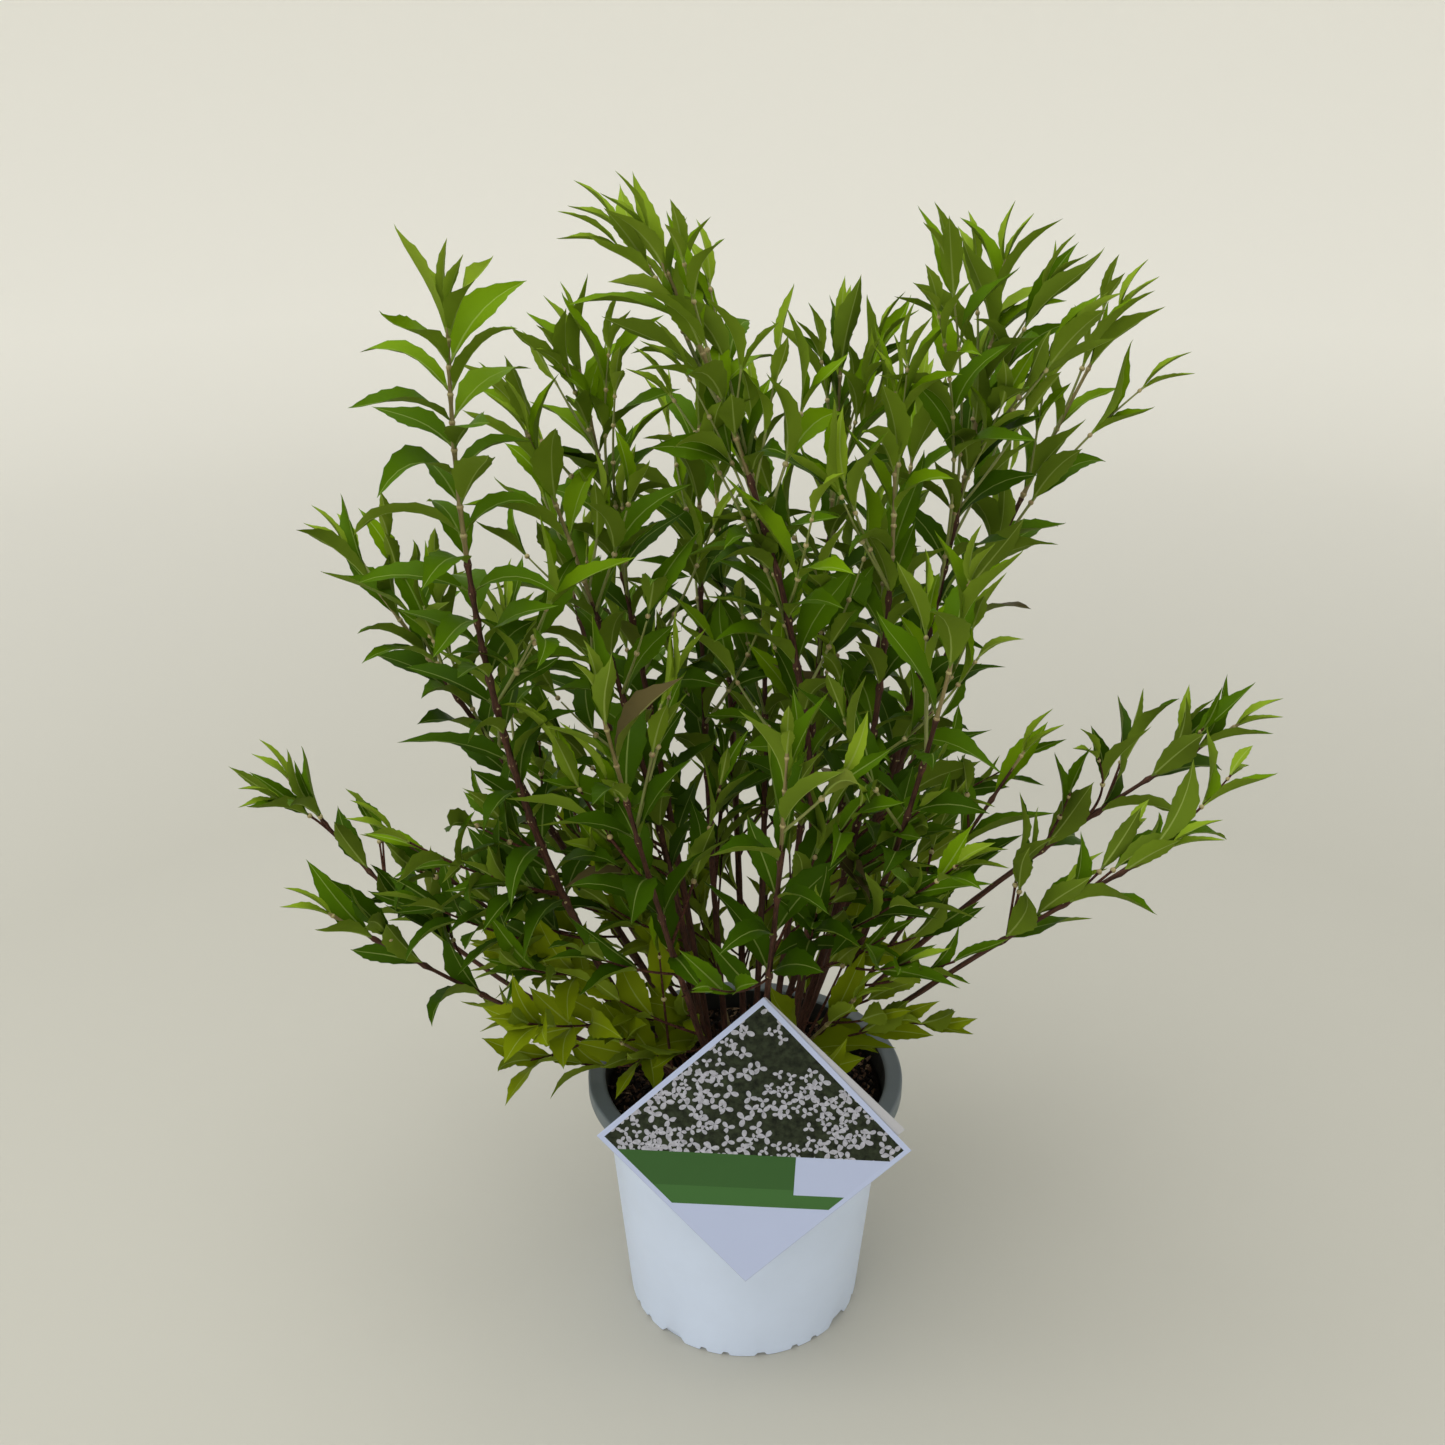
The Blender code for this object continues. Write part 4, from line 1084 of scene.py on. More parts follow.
def slivers(centres, along, upward, sizes, bend, slots):
    """Bent, tapering chips: four sections along each, as wide as a fixed share of its width.

    point = centre + along l x + across w y s(x) + upward (t z s(x) + bend x^2), for x from -1 to 1.
    """
    corner = np.array([(-1, -1), (1, -1), (1, 1), (-1, 1)])
    across = np.cross(upward, along)
    length, width, thick = (sizes[:, axis, None, None, None] / 2 for axis in range(3))
    y = (corner[:, 0] * CHIP_SHARES[:, None])[None, ..., None]
    z = (corner[:, 1] * CHIP_SHARES[:, None])[None, ..., None]
    x = CHIP_SECTIONS[None, :, None, None]
    points = (centres[:, None, None] + along[:, None, None] * length * x
              + across[:, None, None] * width * y
              + upward[:, None, None] * (thick * z + bend[:, None, None, None] * x**2))
    corners = len(CHIP_SECTIONS) * 4
    ends = [[3, 2, 1, 0], [corners - 4, corners - 3, corners - 2, corners - 1]]
    quads = np.concatenate([grid_quads(len(CHIP_SECTIONS), 4, closed=True), ends])
    starts = np.arange(len(centres))[:, None, None] * corners
    places = points[..., :2]
    return Surface(points.reshape(-1, 3), (quads[None] + starts).reshape(-1, 4),
                   NO_TRIANGLES, places.reshape(-1, 2), np.repeat(slots, len(quads)))


def rounded(path):
    """A path with its corners cut twice, each time at a quarter and three quarters of every segment."""
    for _ in range(2):
        low = path[:-1] * 0.75 + path[1:] * 0.25
        high = path[:-1] * 0.25 + path[1:] * 0.75
        cut = np.stack([low, high], axis=1).reshape(-1, 3)
        path = np.concatenate([path[:1], cut, path[-1:]])
    return path


def connect(tree, entry, value):
    """Link an output to an input socket, or set the socket to a value; a colour may lack its alpha."""
    if isinstance(value, bpy.types.NodeSocket):
        tree.links.new(value, entry)
    elif entry.type == "RGBA":
        entry.default_value = (*tuple(value)[:3], 1.0)
    else:
        entry.default_value = value


def add_node(tree, kind, *entries, **inputs):
    """A shader node; entries fill its first sockets in turn, lower-case names are its own settings,
    and the other names are its input sockets.
    """
    node = tree.nodes.new("ShaderNode" + kind)
    for key in [key for key in inputs if key[0].islower()]:
        setattr(node, key, inputs.pop(key))
    for entry, value in zip(node.inputs, entries):
        connect(tree, entry, value)
    for key, value in inputs.items():
        connect(tree, node.inputs[key.replace("_", " ")], value)
    return node


def maths(tree, operation, *values):
    """Output of a Math node that works on values or outputs in turn."""
    return add_node(tree, "Math", *values, operation=operation).outputs[0]


def vector_maths(tree, operation, *values):
    """A Vector Math node that works on vectors or outputs in turn."""
    return add_node(tree, "VectorMath", *values, operation=operation)


def mixed(tree, share, low, high):
    """Colour output that goes from low to high by a share; either may be an output or a colour."""
    node = add_node(tree, "Mix", data_type="RGBA", Factor=share)
    connect(tree, node.inputs[6], low)
    connect(tree, node.inputs[7], high)
    return node.outputs[2]


class Finish:
    """A Principled material while its nodes are laid; each method gives a node or an output."""

    def __init__(self, name, colour, roughness, **sockets):
        self.material = bpy.data.materials.new(name)
        self.material.use_nodes = True
        self.tree = self.material.node_tree
        self.surface = self.tree.nodes["Principled BSDF"]
        self.shine(Base_Color=colour, Roughness=roughness, **sockets)

    def shine(self, **sources):
        """Set or link the Principled shader's sockets, and give the material."""
        for socket, value in sources.items():
            connect(self.tree, self.surface.inputs[socket.replace("_", " ")], value)
        return self.material

    def add(self, kind, **inputs):
        """A node of a kind, with some of its input sockets set or linked."""
        return add_node(self.tree, kind, **inputs)

    def effect(self, group, **inputs):
        """A shared node group placed in this material with its own values."""
        return add_node(self.tree, "Group", node_tree=group, **inputs)

    def place(self):
        """Object coordinates of the piece."""
        return self.add("TexCoord").outputs["Object"]

    def own_map(self):
        """The piece's own map."""
        return self.add("UVMap", uv_map="places").outputs["UV"]

    def mottle(self, place, scale, low=0.0, high=1.0):
        """Soft mottle at a place, between two values."""
        return self.effect(mottle_group(), Vector=place, Scale=scale, Low=low, High=high).outputs["Value"]

    def veined(self, place, across, along, share, low, high):
        """Colour that goes from low to high by a share along the grain, and the grain's height."""
        grain = self.effect(grain_group(), Vector=place, Across=across, Along=along)
        mask = grain.outputs["Mask"]
        if share != 1.0:
            mask = maths(self.tree, "MULTIPLY", mask, share)
        return mixed(self.tree, mask, low, high), grain.outputs["Height"]

    def relief(self, height, strength, distance):
        """Normal from a height."""
        return self.add("Bump", Height=height, Strength=strength, Distance=distance).outputs["Normal"]


def new_group(name, inputs, outputs):
    """An empty node group with float, vector or colour sockets, and its input and output nodes."""
    tree = bpy.data.node_groups.new(name, "ShaderNodeTree")
    for direction, sockets in (("INPUT", inputs), ("OUTPUT", outputs)):
        for label, kind in sockets.items():
            tree.interface.new_socket(name=label, in_out=direction, socket_type="NodeSocket" + kind)
    return tree, tree.nodes.new("NodeGroupInput").outputs, tree.nodes.new("NodeGroupOutput").inputs


def spread_out(tree, value, low, high, **results):
    """Value stretched from the range between low and high to 0 to 1, or to the results given."""
    return add_node(tree, "MapRange", Value=value, From_Min=low, From_Max=high, **results).outputs["Result"]


@functools.lru_cache(maxsize=1)
def mottle_group():
    """Soft mottle: fractal noise at a scale, spread between two values."""
    tree, given, result = new_group(
        "Soft mottle", {"Vector": "Vector", "Scale": "Float", "Low": "Float", "High": "Float"},
        {"Value": "Float"})
    cloud = add_node(tree, "TexNoise", Vector=given["Vector"], Scale=given["Scale"], Detail=4.0,
                     Roughness=0.6)
    value = spread_out(tree, cloud.outputs["Fac"], 0.3, 0.7, To_Min=given["Low"], To_Max=given["High"])
    tree.links.new(value, result["Value"])
    return tree


@functools.lru_cache(maxsize=1)
def grain_group():
    """Long grain: noise drawn out along the map's second axis, with furrows where it runs low."""
    tree, given, result = new_group(
        "Long grain", {"Vector": "Vector", "Across": "Float", "Along": "Float"},
        {"Mask": "Float", "Height": "Float"})
    stretch = add_node(tree, "CombineXYZ", given["Across"], given["Along"], given["Across"])
    scaled = vector_maths(tree, "MULTIPLY", given["Vector"], stretch.outputs[0]).outputs[0]
    coarse = add_node(tree, "TexNoise", Vector=scaled, Scale=1.0, Detail=3.0, Roughness=0.55, Distortion=0.6)
    fine = add_node(tree, "TexNoise", Vector=scaled, Scale=3.7, Detail=2.0, Roughness=0.5)
    blend = maths(tree, "MULTIPLY_ADD", fine.outputs["Fac"], 0.35,
                  maths(tree, "MULTIPLY", coarse.outputs["Fac"], 0.65))
    tree.links.new(spread_out(tree, blend, 0.38, 0.62), result["Mask"])
    tree.links.new(blend, result["Height"])
    return tree


# Side veins of a leaf: how fast their wave runs along the midrib, and away from it, for each metre.
VEINS = 1100.0
VEIN_LEAN = 900.0


def leaf_finish(name, colour, roughness):
    """Leaf surface: plain colour with its place, a soft uneven gloss and the relief of side veins.

    Side veins are a wave across the map, whose crests lean forward from the midrib to the edge.
    """
    finish = Finish(name, colour, roughness, Specular_IOR_Level=0.03)
    split = finish.add("SeparateXYZ", Vector=finish.own_map())
    lean = maths(finish.tree, "MULTIPLY_ADD", maths(finish.tree, "ABSOLUTE", split.outputs["X"]), -VEIN_LEAN,
                 maths(finish.tree, "MULTIPLY", split.outputs["Y"], VEINS))
    gloss = finish.mottle(finish.place(), 160.0, roughness - 0.07, roughness + 0.09)
    veins = finish.relief(maths(finish.tree, "SINE", lean), 0.10, 0.1 * MM)
    return finish.shine(Roughness=gloss, Normal=veins)


def blend_colours(low, high, share):
    """Colour between two colours."""
    return tuple(a + (b - a) * share for a, b in zip(low, high))


def scaled_colour(colour, factor):
    """A colour made lighter or darker by a factor."""
    return [value * factor for value in colour]


# A leaf's grid: stations along it, six points round it at each, which are edge, two of the rib above,
# edge and two of the rib below, and between two stations a tooth on either edge.
LEAF_STATIONS = 8
LEAF_COLUMNS = 6
LEAF_ROW = LEAF_COLUMNS + 2
STALK_STATIONS = (0.045, 0.105)
LAST_STATION = 0.955
TOOTH_LEAN = 0.62
TOOTH = 0.065
EDGE_WAVE = 0.16
EDGE_WAVES = 9.0
STALK = 0.06
STALK_HALF_WIDTH = 0.55 * MM
BASE_POWER = 1.15
TIP_POWER = 1.45
RIB_HALF_WIDTH = 0.48 * MM
RIB_END = 0.08 * MM
RIB_POWER = 0.8
RIB_SHARE = 0.5
THICKNESS_TAPER = 0.6


def leaf_faces():
    """Quads, triangles and slots of one leaf: blade above 0, rib and stalk 1, underside 2, its rib 3.

    Faces at an edge fan out from its teeth, which are points 6 and 7 of a row, so blade and underside
    split along like lines and never cross.
    """
    strips = np.array([(6, 9, 1, 0), (1, 9, 10, 2), (7, 3, 2, 10), (7, 12, 4, 3), (4, 12, 13, 5),
                       (6, 0, 5, 13)])
    corners = np.array([(6, 8, 9), (7, 10, 11), (7, 11, 12), (6, 13, 8)])
    rows = 1 + np.arange(LEAF_STATIONS - 1)[:, None, None] * LEAF_ROW
    quads, triangles = (strips + rows).reshape(-1, 4), (corners + rows).reshape(-1, 3)
    ring_slots = np.array([0, 1, 0, 2, 3, 2])
    quad_slots = np.tile(ring_slots, LEAF_STATIONS - 1)
    corner_slots = np.tile([0, 0, 2, 2], LEAF_STATIONS - 1)
    quad_slots[:LEAF_COLUMNS], corner_slots[:4] = 1, 1
    last = 1 + (LEAF_STATIONS - 1) * LEAF_ROW
    ring = np.arange(LEAF_COLUMNS)
    after = np.roll(ring, -1)
    root_fan = np.stack([np.zeros(LEAF_COLUMNS, int), 1 + ring, 1 + after], axis=1)
    tip_fan = np.stack([np.full(LEAF_COLUMNS, last + LEAF_COLUMNS), last + after, last + ring], axis=1)
    slots = np.concatenate([quad_slots, corner_slots, np.ones(LEAF_COLUMNS, int), ring_slots])
    return quads, np.concatenate([triangles, root_fan, tip_fan]), slots


def in_rows(root, rings, tip):
    """Values of each leaf in the order of leaf_faces: root, a row for each station and its teeth, tip."""
    rows = np.concatenate([rings[:, :-1:2], rings[:, 1::2][:, :, [0, 3]]], axis=2)
    return np.concatenate([root, rows.reshape(len(rings), -1, rings.shape[-1]), rings[:, -1], tip], axis=1)


def shifted(origin, *moves):
    """Points moved from an origin by a distance along each of some directions."""
    for direction, distance in moves:
        origin = origin + direction * distance[..., None]
    return origin


def rolled(first, second, angle):
    """Two directions square to each other, turned in their own plane from first towards second."""
    cos, sin = np.cos(angle)[..., None], np.sin(angle)[..., None]
    return first * cos + second * sin, second * cos - first * sin


def leaf_surfaces(leaves, thickness):
    """Closed, folded, arching and toothed leaves as one surface.

    Heading h(u) = lift (1 - u)^2 - droop u^a + flick u^b, and the midrib is its integral over the
    length. The midrib moves aside by sweep u^2. Half width w(u) = W/2 v^c (1 - v)^d scaled to 1 at its
    widest, v = (u - stalk) / (1 - stalk), times 1 + tooth and 1 - tooth in turn, plus the stalk's own
    (1 - u). Edge = midrib + w cos(fold) across + w (sin(fold) + a wave along u) upward, and the cross
    section turns by twist u^a. The rib's half width falls with (1 - u)^e, and the underside lies one
    thickness, thinning to the tip, below the midrib.
    """
    count = len(leaves)
    field = {key: np.array([getattr(leaf, key) for leaf in leaves])[:, None] for key in Leaf._fields}
    stations = np.linspace(STALK_STATIONS[1], LAST_STATION, LEAF_STATIONS - 1)
    stations = np.concatenate([STALK_STATIONS[:1], stations])
    teeth = stations[:-1] + TOOTH_LEAN * np.diff(stations)
    u = np.concatenate([[0.0], np.sort(np.concatenate([stations, teeth])), [1.0]])
    heading = LEAF_LIFT * (1 - u) ** 2 - field["droop"] * u**DROOP_POWER + field["flick"] * u**FLICK_POWER
    step = np.diff(u)
    middle = (heading[:, 1:] + heading[:, :-1]) / 2
    zero = np.zeros((count, 1))
    out = np.concatenate([zero, np.cumsum(np.cos(middle) * step, axis=1)], axis=1)
    rise = np.concatenate([zero, np.cumsum(np.sin(middle) * step, axis=1)], axis=1)
    length, along, face = field["length"], field["along"], field["face"]
    across = np.cross(face, along)
    centre = shifted(field["root"], (along, out * length), (face, rise * length),
                     (across, field["sweep"] * u**2 * length))
    turn = field["twist"] * u**DROOP_POWER
    upward = rolled(along, face, heading)[1]
    aside, upward = rolled(across, upward, turn)

    v = np.clip((u - STALK) / (1 - STALK), 0.0, 1.0)
    form = v**BASE_POWER * (1 - v) ** TIP_POWER
    form = form / form.max()
    other = (-1.0) ** np.arange(len(u))
    half = field["width"] / 2 * form * (1 + TOOTH * other) + STALK_HALF_WIDTH * (1 - u)
    rib = np.minimum(half * RIB_SHARE, RIB_HALF_WIDTH * (1 - u) ** RIB_POWER + RIB_END)
    fold = field["fold"]
    wave = EDGE_WAVE * np.sin(EDGE_WAVES * u + EDGE_WAVES * field["flick"])
    spread_by = half * np.cos(fold)
    below = shifted(centre, (-upward, thickness * (1.0 - THICKNESS_TAPER * u)))
    rings = np.stack([
        shifted(centre, (-aside, spread_by), (upward, half * (np.sin(fold) + wave))),
        shifted(centre, (-aside, rib)),
        shifted(centre, (aside, rib)),
        shifted(centre, (aside, spread_by), (upward, half * (np.sin(fold) - wave))),
        shifted(below, (aside, rib)),
        shifted(below, (-aside, rib)),
    ], axis=2)[:, 1:-1]
    points = in_rows(centre[:, :1], rings, centre[:, -1:])

    distance = u * length
    spread = np.stack([-half, -rib, rib, half, rib, -rib], axis=-1)[:, 1:-1]
    map_rings = np.stack([spread, np.broadcast_to(distance[:, 1:-1, None], spread.shape)], axis=-1)
    root_place, tip_place = (np.stack([zero, distance[:, end]], axis=-1) for end in ([0], [-1]))
    places = in_rows(root_place, map_rings, tip_place)

    quads, triangles, slots = leaf_faces()
    offset = (np.arange(count) * points.shape[1])[:, None, None]
    return Surface(
        points.reshape(-1, 3),
        (quads + offset).reshape(-1, 4),
        (triangles + offset).reshape(-1, 3),
        places.reshape(-1, 2),
        np.concatenate([np.tile(slots[: len(quads)], count), np.tile(slots[len(quads):], count)]),
    )


# How far a leaf's other faces go from its own colour to the midrib's or the underside's, and all
# roughnesses in turn: blade, rib, underside and the rib below.
RIB_PALENESS = 0.34
UNDERSIDE_SHARE = 0.70
VEIN_PALENESS = 0.45
LEAF_ROUGHNESS = (0.46, 0.5, 0.62, 0.6)


class DEUTZIA_OT_leaves(bpy.types.Operator):
    """Grow the leaves, joined by tone"""

    bl_idname = "deutzia.leaves"
    bl_label = "Leaves"

    def execute(self, context):
        settings = context.scene.deutzia_shrub
        midrib, underside = settings.midrib, settings.underside
        for tone, name in enumerate(TONES):
            own = tuple(getattr(settings, name))
            colours = (own, blend_colours(own, midrib, RIB_PALENESS),
                       blend_colours(own, underside, UNDERSIDE_SHARE),
                       blend_colours(underside, midrib, VEIN_PALENESS))
            finishes = [leaf_finish(part + name, shade, roughness) for part, shade, roughness in
                        zip(("leaf_", "leaf_rib_", "leaf_under_", "leaf_vein_"), colours, LEAF_ROUGHNESS)]
            chosen = [leaf for leaf in plan_shrub().leaves if leaf.tone == tone]
            surface = leaf_surfaces(chosen, settings.leaf_thickness)
            make_piece("leaves_" + name, surface, finishes, LEAFY_NODES, sharp=65)
        return {"FINISHED"}


# The wood: how much of a cane is brown, how slim it is drawn, the steps and sides of its tubes, and the
# width and height of its swellings at the nodes.
BARK_SHARE = 0.72
LOW_BARK_SHARE = 0.86
BARK_SLIMNESS = 0.66
BARK_SUNK = 1.5 * MM
BARK_STEP = 2.4 * MM
BARK_SIDES = 14
BARK_SWELLING = (2.6 * MM, 0.75 * MM)
STEM_OVERLAP = 4 * MM
STEM_STEP = 3 * MM
STEM_SIDES = 8
STEM_SWELLING = (1.8 * MM, 0.4 * MM)
BROWN_TWIG_BELOW = 345 * MM
TWIG_SIDES = 6
TWIG_SWELLING = (1.6 * MM, 0.25 * MM)
TWIG_END = 2 * MM
TWIG_END_RADIUS = 0.45 * MM
BARE_END = 4 * MM
TOUCHING = 0.01 * MM
COLLAR_START = 1.0 * MM
COLLAR_END = 1.4 * MM
COLLAR_HEIGHT = 0.38 * MM
COLLAR_SWELLING = 0.22
COLLAR_BELL = np.array([0.1, 0.75, 1.0, 0.7, 0.05])
COLLAR_SIDES = 7
TWIG_COLLAR_END_RADIUS = 0.6 * MM


def cane_radius(cane, length, run):
    """Radius along a cane: flared from the foot over the bare stretch, then even to the shoot's end."""
    bare = cane.bare * length
    tip = min(STEM_RADIUS, cane.foot_radius * MM * CANE_TAPER)
    foot = cane.foot_radius * MM * BARK_SLIMNESS
    low = tip + (foot - tip) * np.clip(1 - run / max(bare, MM), 0.0, 1.0) ** CANE_FLARE
    share = np.clip((run - bare) / (length - TIP_LEAF - bare), 0.0, 1.0)
    return np.where(run < bare, low, tip + (SHOOT_END_RADIUS - tip) * share)


def swelling(run, places, width, height):
    """Sum of bell-shaped swellings, one at each place along a path."""
    return height * np.exp(-(((run[:, None] - places[None]) / width) ** 2)).sum(axis=1)


def is_low(cane):
    """True for a cane that ends low on the shrub."""
    return cane.tip[2] * MM < LOW_TIP


def bark_share(cane):
    """The share of a cane that has brown bark; a low cane is brown nearly to its tip."""
    return LOW_BARK_SHARE if is_low(cane) else BARK_SHARE


def bark_radii(run, radius, sides, phase):
    """Radius of a barked cane: r (1 + strips), where strips are 3, 5 and 7 waves round it that wander
    along it.
    """
    angle = around_axis(sides)[None]
    along = run[:, None] / MM
    strips = 0.075 * np.sin(3 * angle + 0.05 * along + phase + 1.3 * np.sin(along / 23 + phase))
    strips = strips + 0.055 * np.sin(5 * angle - 0.11 * along + 2 * phase + np.sin(along / 11))
    strips = strips + 0.035 * np.sin(7 * angle + 0.31 * along + 3 * phase)
    return radius[:, None] * (1 + strips)


def cane_lines(plan, settings):
    """Each cane with its path, its length and the distances of its pairs of leaves along it."""
    for cane, path, shoot in zip(plan.canes, plan.paths, plan.shoots):
        length = distance_along(path)[-1]
        yield cane, path, length, node_places(shoot, settings) + cane.bare * length


def leafy_reach(twig, places, leaves):
    """Distance along a twig to its last node that bears leaves, or nothing where none does."""
    roots = np.array([leaf.root for leaf in leaves])
    apart = np.linalg.norm(at(twig.nodes, places)[:, None] - roots, axis=-1).min(axis=1)
    return places[apart < TOUCHING].max(initial=0.0)


def twig_tube(twig, settings, leaves):
    """A twig as far as its last leaves, in slot 1 where it is brown, or None where that is no length."""
    places = node_places(twig, settings)
    reach = leafy_reach(twig, places, leaves)
    line = rounded(twig.nodes)
    if reach < places[-1]:
        line = line[distance_along(line) < reach + BARE_END]
    if len(line) < 3:
        return None
    radius = np.linspace(TWIG_RADIUS[twig.rank], TWIG_END_RADIUS, len(line))
    radius = radius + swelling(distance_along(line), places, *TWIG_SWELLING)
    line[-1] += unit(line[-1] - line[-2]) * TWIG_END
    one = tube(line, radius, TWIG_SIDES)
    brown = is_low(LIMBS[twig.mass]) or twig.nodes[0][2] < BROWN_TWIG_BELOW
    return one._replace(slots=one.slots + int(brown))


def stem_finish(name, base, lines, roughness, share, strength):
    """Smooth young bark: a base colour with another in long fine lines, and their relief."""
    finish = Finish(name, base, roughness)
    colour, height = finish.veined(finish.own_map(), 1500.0, 90.0, share, base, lines)
    return finish.shine(Base_Color=colour, Normal=finish.relief(height, strength, MM / 2))


def bark_finish(name, base, other, share):
    """Fibrous wood or bark: a base colour veined with another by long grain, and its relief."""
    finish = Finish(name, base, 0.85, Specular_IOR_Level=0.15)
    colour, height = finish.veined(finish.place(), 700.0, 150.0, share, base, other)
    return finish.shine(Base_Color=colour, Normal=finish.relief(height, 0.6, MM / 2))


class DEUTZIA_OT_canes(bpy.types.Operator):
    """Make the barked canes with their node swellings"""

    bl_idname = "deutzia.canes"
    bl_label = "Barked canes"

    def execute(self, context):
        settings = context.scene.deutzia_shrub
        tubes = []
        for index, (cane, path, length, places) in enumerate(cane_lines(plan_shrub(), settings)):
            if not cane.bare:
                continue
            run = np.arange(-BARK_SUNK, bark_share(cane) * length, BARK_STEP)
            line = at(path, run)
            line[0] = path[0] + unit(path[0] - path[1]) * BARK_SUNK
            radius = cane_radius(cane, length, run) + swelling(run, places, *BARK_SWELLING)
            tubes.append(tube(line, bark_radii(run, radius, BARK_SIDES, index * 1.7), BARK_SIDES))
        finish = Finish("cane_bark", settings.bark_light, 0.72, Specular_IOR_Level=0.2)
        bark, height = finish.veined(finish.own_map(), 900.0, 110.0, 1.0, settings.bark_dark,
                                     settings.bark_light)
        worn = maths(finish.tree, "MULTIPLY", finish.mottle(finish.place(), 38.0), 0.35)
        material = finish.shine(Base_Color=mixed(finish.tree, worn, bark, settings.bark_worn),
                                Normal=finish.relief(height, 0.7, MM))
        make_piece("canes", joined(tubes), (material,), CANE_NODES)
        return {"FINISHED"}


class DEUTZIA_OT_shoots(bpy.types.Operator):
    """Make the green upper shoots and the twigs"""

    bl_idname = "deutzia.shoots"
    bl_label = "Shoots and twigs"

    def execute(self, context):
        settings = context.scene.deutzia_shrub
        plan = plan_shrub()
        stems = []
        for cane, path, length, places in cane_lines(plan, settings):
            start = bark_share(cane) * length - STEM_OVERLAP if cane.bare else 0.0
            end = length - TIP_LEAF
            run = np.append(np.arange(start, end, STEM_STEP), end + STEM_STEP)
            radius = cane_radius(cane, length, run) + swelling(run, places, *STEM_SWELLING)
            stems.append(tube(at(path, run), radius, STEM_SIDES))
        stem = stem_finish("young_stem", settings.stem, settings.stem_grain, 0.55, 0.7, 0.3)
        make_piece("stems", joined(stems), (stem,), LEAFY_NODES)

        twigs = [twig_tube(twig, settings, plan.leaves) for twig in plan.twigs + plan.fine]
        green = stem_finish("green_twig", settings.twig, settings.twig_grain, 0.5, 0.6, 0.25)
        brown = bark_finish("brown_twig", settings.bark_light, settings.bark_dark, 0.9)
        make_piece("twigs", joined([twig for twig in twigs if twig]), (green, brown), LEAFY_NODES)
        return {"FINISHED"}


class DEUTZIA_OT_node_rings(bpy.types.Operator):
    """Make the pale collars where pairs of leaves stand"""

    bl_idname = "deutzia.node_rings"
    bl_label = "Node rings"

    def execute(self, context):
        settings = context.scene.deutzia_shrub
        plan = plan_shrub()
        axes = [(path, places, cane_radius(cane, length, places))
                for cane, path, length, places in cane_lines(plan, settings)]
        for twig in plan.twigs:
            places = node_places(twig, settings)
            radii = np.linspace(TWIG_RADIUS[1], TWIG_COLLAR_END_RADIUS, len(places))
            leafy = places <= leafy_reach(twig, places, plan.leaves)
            axes.append((rounded(twig.nodes), places[leafy], radii[leafy]))
        rings = []
        for line, places, radii in axes:
            inside = np.clip(places, COLLAR_START, distance_along(line)[-1] - COLLAR_END)
            for place, radius in zip(inside, radii):
                run = np.linspace(place - COLLAR_START, place + COLLAR_END, len(COLLAR_BELL))
                bell = COLLAR_BELL * (COLLAR_HEIGHT + COLLAR_SWELLING * radius)
                rings.append(tube(at(line, run), radius + bell, COLLAR_SIDES))
        finish = Finish("node_ring", settings.collar, 0.6)
        spots = mixed(finish.tree, finish.mottle(finish.place(), 220.0), settings.collar,
                      settings.collar_spot)
        ring = finish.shine(Base_Color=spots)
        make_piece("node_rings", joined(rings), (ring,), LEAFY_NODES)
        return {"FINISHED"}


# The pot's proportions inside its box, and the notches of its foot ring for each quarter turn:
# angle in degrees from the quarter's start, width and height.
POT_NECK_RADIUS = 86 * MM
POT_FOOT_RADIUS = 72.5 * MM
FOOT_RING_WIDTH = 4.5 * MM
CENTRE_PAD_RADIUS = 50 * MM
CHANNEL_HEIGHT = 3 * MM
CHANNEL_RUN = 1.5 * MM
POT_TURN = 7.6
FOOT_NOTCHES = [(angle, 5.2 * MM, 2.2 * MM) for angle in (-28, -17, 17, 28)]
FOOT_NOTCHES += [(0, 7.5 * MM, 2.2 * MM), (45, 17 * MM, 4.5 * MM)]
NOTCH_FOOT_SHARE = 0.52
NOTCH_SIDE_SHARE = 0.24
POT_SIDES = 720


def notch_lift(rings):
    """Height of the foot's notches: a flat-topped arch for each, only on the ring's outer half."""
    angle = np.arctan2(rings[..., 1], rings[..., 0])
    out = np.hypot(rings[..., 0], rings[..., 1])
    lift = np.zeros(angle.shape)
    for quarter in range(4):
        for turn, width, height in FOOT_NOTCHES:
            middle = math.radians(quarter * 90 + turn + POT_TURN)
            aside = np.abs((angle - middle + math.pi) % (2 * math.pi) - math.pi) * POT_FOOT_RADIUS
            arch = np.clip((NOTCH_FOOT_SHARE * width - aside) / (NOTCH_SIDE_SHARE * width), 0.0, 1.0)
            lift = np.maximum(lift, arch * height)
    outer_half = out > POT_FOOT_RADIUS - FOOT_RING_WIDTH / 2 - MM / 10
    return np.where(outer_half & (rings[..., 2] < MM), lift, 0.0)


def arc(centre, radius, start, end, count):
    """Points of an arc in a profile, from one angle in degrees to another."""
    angle = np.radians(np.linspace(start, end, count))
    return [(centre[0] + radius * math.cos(a), centre[1] + radius * math.sin(a)) for a in angle]


# The rounding of the pot's lip and rim: radii in the profile, and how far a face stands in from its edge.
LIP_BEND = 0.7 * MM
RIM_BEND = 1.3 * MM
INNER_BEND = 2.0 * MM
FOOT_BEVEL = 0.4 * MM
RIM_FLAT_DOWN = 0.1 * MM
WALL_LEVELS = np.array([7, 30, 60, 90, 120, 145]) * MM
INSIDE_LEVELS = np.array([6, 12, 30, 80]) * MM
# How many bands at the end of the inside, from the inner bend of the rim down to the floor, take the inner
# wall's painted shade.
PAINTED_SHADE_RINGS = 6


